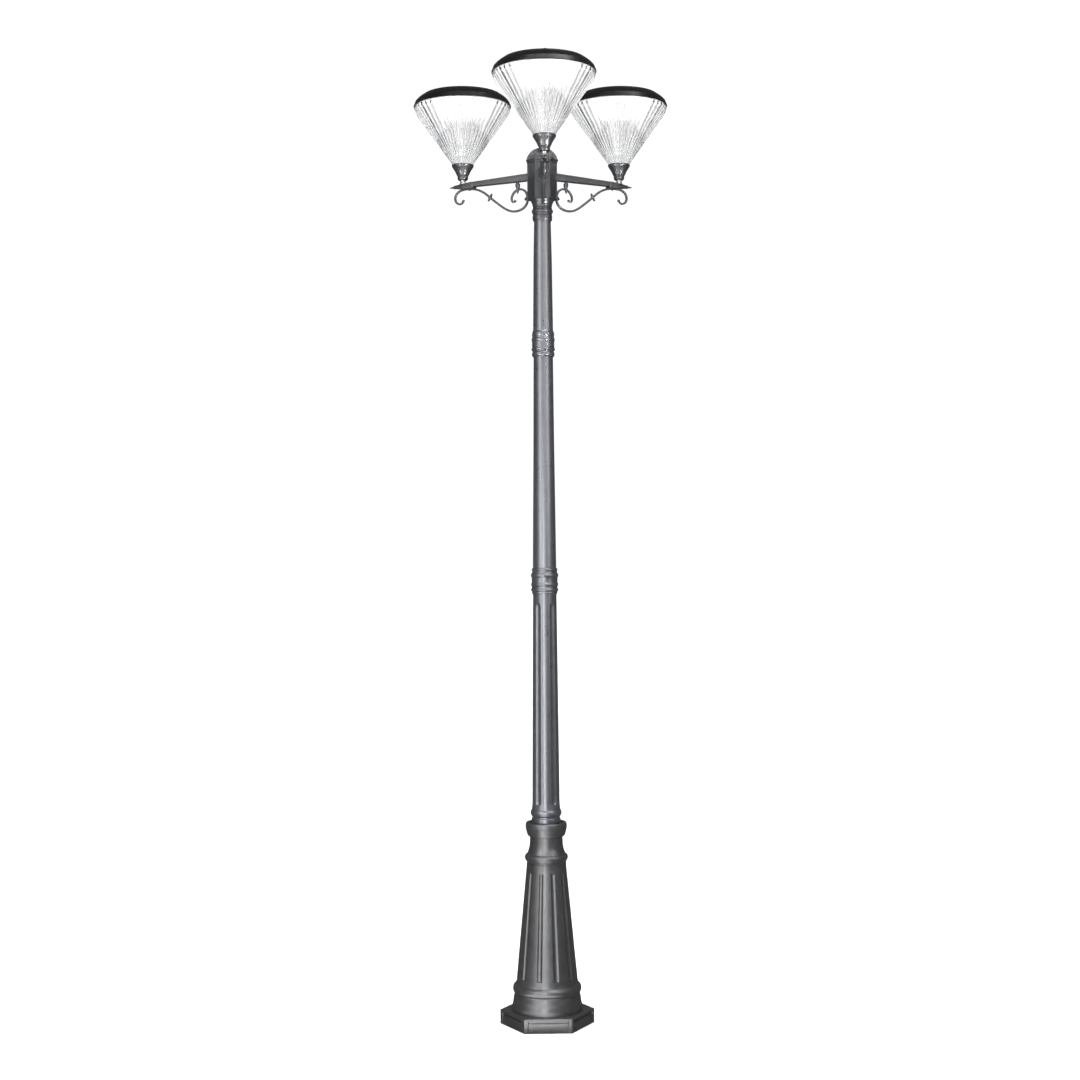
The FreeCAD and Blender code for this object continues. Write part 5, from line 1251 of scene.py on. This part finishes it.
for side, deg in ARM_DIRS.items():
    m = head_matrix(deg)
    o = finish_mesh("holder_cup_" + side, v_holder, f_holder, MAT["powder_arm"], sharp=44, transform=m)
    piece(o, "powder_coat", "holder_" + side)
    o = finish_mesh("diffuser_cone_" + side, v_diff, f_diff, MAT["clear"], sharp=30)
    # the fin attribute holds the painted shade of each fin
    att = o.data.attributes.new("fin", "FLOAT", "POINT")
    att.data.foreach_set("value", [fin_painted_shade(q.co) for q in o.data.vertices])
    o.data.transform(m @ Matrix.Rotation(math.radians(FACING[side]), 4, "Z"))
    piece(o, "clear_diffuser", "diffuser_" + side)
    o = finish_mesh("cap_lid_" + side, v_cap, f_cap, MAT["cap"], sharp=44)
    path = [(Vector((BUTTON_U, 0, z)), Vector((1, 0, 0)), Vector((0, 1, 0))) for z in (3223.5, 3233.5)]
    hole = tube_data(path, lambda i: ellipse(7.0, 7.0, 48))
    cut_with(o, [hole])
    o.data.transform(m)
    piece(o, "cap_black", "cap_" + side)
    pr = rounded([Vector(p) for p in ((0.02, 3226.1), (105.0, 3226.1), (105.0, 3230.1), (0.02, 3230.1))], 0.5, closed=True)
    v, f = lathe_data(pr, 160)
    o = finish_mesh("solar_panel_disc_" + side, v, f, MAT["panel"], sharp=44, uv=lambda co: (co.x, co.y))
    o.data.transform(m)
    piece(o, "solar_glass", "solar_panel_" + side)
    o = finish_mesh("reflector_plate_" + side, v_ref, f_ref, MAT["white"], sharp=40, transform=m)
    piece(o, "reflector_white", "reflector_" + side)
    v, f = join_data([(v_led, f_led)] + chip_base)
    o = finish_mesh("led_disc_" + side, v, f, MAT["led"], sharp=40, transform=m)
    piece(o, "led_board", "led_board_" + side)
    v, f = join_data(chip_lens)
    o = finish_mesh("led_chips_" + side, v, f, MAT["chip"], sharp=40, transform=m)
    piece(o, "led_board")
    o = finish_mesh("button_cover_" + side, v_btn, f_btn, MAT["button"], sharp=40, transform=m)
    piece(o, "button_rubber", "power_button_" + side, body="button_" + side)
    stud_parts.append(([m @ p for p in v_stud], f_stud))
    for k in range(4):
        a = math.radians(45 + 90 * k)
        v, f = screw_head_data(3.9, 2.2, 1.5, 24)
        mm = m @ Matrix.Translation((146.0 * math.cos(a) * MM, 146.0 * math.sin(a) * MM, 3184.0 * MM)) @ Matrix.Rotation(math.pi, 4, "X")
        capscrew_parts.append(([mm @ p for p in v], f))
        path = [(Vector((146.0 * math.cos(a), 146.0 * math.sin(a), z)), Vector((1, 0, 0)), Vector((0, 1, 0))) for z in (3184.3, 3202.4, 3203.0)]
        v, f = tube_data(path, lambda i: ellipse(1.8 if i < 2 else 1.4, 1.8 if i < 2 else 1.4, 16))
        capscrew_parts.append(([m @ p for p in v], f))
    for yy in (-22.0, 22.0):
        path = [(Vector((BUTTON_U, yy, z)), Vector((1, 0, 0)), Vector((0, 1, 0))) for z in (3211.7, 3213.5, 3213.51, 3222.5)]
        v, f = tube_data(path, lambda i: ellipse(2.4 if i < 2 else 1.1, 2.4 if i < 2 else 1.1, 16))
        capscrew_parts.append(([m @ p for p in v], f))
v, f = join_data(stud_parts)
piece(finish_mesh("head_stud_set", v, f, MAT["steel"], sharp=40), "plain_steel", "head_studs")
v, f = join_data(capscrew_parts)
piece(finish_mesh("cap_screw_set", v, f, MAT["steel"], sharp=40), "plain_steel", "cap_screws")

# ---------------------------------------------------------------------------
# Stage: floor, light and camera
# ---------------------------------------------------------------------------

floor_mesh = bpy.data.meshes.new("floor")
bm = bmesh.new()
bmesh.ops.create_circle(bm, cap_ends=True, radius=60.0, segments=96)
bm.to_mesh(floor_mesh)
bm.free()
floor = bpy.data.objects.new("floor", floor_mesh)
coll.objects.link(floor)
fm, ft, fp, fco = material("floor_pale")
fn = ft.noise(fco, 3.0, 4.0, 0.6)
ft.put(fp.inputs["Base Color"], ft.mix(fn, (0.93, 0.93, 0.93), (0.95, 0.95, 0.95)))
fp.inputs["Roughness"].default_value = 0.9
fp.inputs["Specular IOR Level"].default_value = 0.1
floor.data.materials.append(fm)
floor.visible_glossy = False

world = bpy.data.worlds.new("studio")
scene.world = world
world.use_nodes = True
world.node_tree.nodes.clear()
wt = Tree(world.node_tree)
wo = wt.new("ShaderNodeOutputWorld")
lp = wt.new("ShaderNodeLightPath")
seen = wt.new("ShaderNodeBackground")
seen.inputs[0].default_value = (1.0, 1.0, 1.0, 1.0)
seen.inputs[1].default_value = 1.05
amb = wt.new("ShaderNodeBackground")
amb.inputs[0].default_value = (0.97, 0.985, 1.0, 1.0)
level = wt.math("MULTIPLY_ADD", lp.outputs["Is Glossy Ray"], -0.02, 0.12)
wt.put(amb.inputs[1], level)
# a backdrop stands behind the post: light bent far aside by a rib misses it and is grey
way = wt.new("ShaderNodeTexCoord")
dot = wt.new("ShaderNodeVectorMath", operation="DOT_PRODUCT")
wt.put(dot.inputs[0], way.outputs["Generated"])
dot.inputs[1].default_value = (0.0, math.cos(math.radians(9.0)), math.sin(math.radians(9.0)))
inside = wt.maprange(dot.outputs["Value"], math.cos(math.radians(32.0)), math.cos(math.radians(10.0)), 0.20, 1.05)
white = wt.math("MAXIMUM", inside, wt.math("MULTIPLY", lp.outputs["Is Camera Ray"], 1.05))
wt.put(seen.inputs[1], white)
mixw = wt.new("ShaderNodeMixShader")
direct = wt.math("MAXIMUM", lp.outputs["Is Camera Ray"], lp.outputs["Is Transmission Ray"])
wt.link(direct, mixw.inputs[0])
wt.link(amb.outputs[0], mixw.inputs[1])
wt.link(seen.outputs[0], mixw.inputs[2])
wt.link(mixw.outputs[0], wo.inputs[0])


def area(name, loc, target, size, size_y, power, color=(1, 1, 1), diffuse=True, glossy=True):
    d = bpy.data.lights.new(name, "AREA")
    d.shape = "RECTANGLE"
    d.size, d.size_y = size, size_y
    d.energy = power
    d.color = color
    o = bpy.data.objects.new(name, d)
    coll.objects.link(o)
    o.location = loc
    v = Vector(target) - Vector(loc)
    o.rotation_euler = v.to_track_quat("-Z", "Y").to_euler()
    o.visible_camera = False
    o.visible_transmission = False
    o.visible_diffuse = diffuse
    o.visible_glossy = glossy
    return o


def polar(az, dist, z):
    """az from the front (-Y), positive towards +X."""
    return (dist * math.sin(math.radians(az)), -dist * math.cos(math.radians(az)), z)


# a curved wall of narrow soft panels stands round the front, brighter where the
# poles carry their two highlights, and a lower one lights the pedestal
for az, power in ((-62, 8.2), (-48, 15.2), (-36, 21.4), (-24, 5.2), (-12, 7.8), (0, 4.2), (12, 12.1), (24, 5.8), (36, 13.0), (48, 17.3), (62, 4.6)):
    area("panel_high_%d" % az, polar(az, 3.3, 2.95), (0, 0, 2.45), 0.55, 2.9, power)
for az, power in ((-48, 3.2), (-36, 8.0), (-12, 18.5), (0, 3.4)):
    area("panel_low_%d" % az, polar(az, 2.4, 0.98), (0, 0, 0.98), 0.42, 1.86, power)
for az, power, dist, long in ((-25, 11.0, 1.30, 2.2), (0, 3.4, 1.30, 2.2)):
    card = area("floor_card_%d" % az, polar(az, dist, 0.004), (0, 0, 0), 0.45, long, power, diffuse=False)
    card.rotation_euler = (math.pi, 0, math.radians(az))
# high boxes give the lids' rims their sheen, and hung trays light the cups under the cones
area("box_top_right", polar(40, 1.7, 5.4), (0, 0, 3.2), 1.9, 0.8, 62, diffuse=False)
area("box_top_left", polar(-18, 1.7, 5.4), (0, 0, 3.2), 1.9, 0.8, 36, diffuse=False)
for az, power in ((38, 5.0), (-44, 1.5)):
    tray = area("tray_%d" % az, polar(az, 3.2, 1.05), (0, -0.318, 2.96), 0.5, 0.5, power, diffuse=False)
    tray.data.spread = math.radians(34)
sun = bpy.data.lights.new("sky_soft", "SUN")
sun.energy = 4.3
sun.angle = math.radians(60)
so = bpy.data.objects.new("sky_soft", sun)
so.rotation_euler = (0, 0, 0)
so.visible_glossy = False
coll.objects.link(so)

# camera: the post's axis stands 4.4 px right of the picture's middle, the
# horizon 5 px above it, and the whole view is rolled a third of a degree
DIST = 6.158
cam_data = bpy.data.cameras.new("camera")
cam_data.sensor_width = 36.0
cam_data.lens = 59.67
cam_data.clip_end = 200.0
cam = bpy.data.objects.new("camera", cam_data)
coll.objects.link(cam)
TURN = math.radians(1.45)
loc = Vector((-DIST * math.sin(TURN), -DIST * math.cos(TURN), 1.6787))
yaw = math.atan(4.4 / 1790.0)
look = Vector((math.sin(TURN), math.cos(TURN), 0.0))
look.rotate(Matrix.Rotation(yaw, 3, "Z"))
pitch = -math.atan(5.0 / 1790.0)
right = look.cross(Vector((0, 0, 1))).normalized()
look = (look * math.cos(pitch) + Vector((0, 0, 1)) * math.sin(pitch)).normalized()
up = right.cross(look).normalized()
roll = math.radians(-0.36)
r2 = right * math.cos(roll) + up * math.sin(roll)
u2 = up * math.cos(roll) - right * math.sin(roll)
m3 = Matrix((r2, u2, -look)).transposed()
cam.matrix_world = Matrix.Translation(loc) @ m3.to_4x4()
scene.camera = cam

scene.view_settings.view_transform = "Standard"
scene.view_settings.look = "None"
scene.cycles.max_bounces = 32
scene.cycles.transmission_bounces = 28
scene.cycles.transparent_max_bounces = 16
scene.cycles.glossy_bounces = 6
scene.cycles.diffuse_bounces = 4
scene.cycles.use_denoising = True
scene.cycles.caustics_refractive = False
scene.cycles.caustics_reflective = False
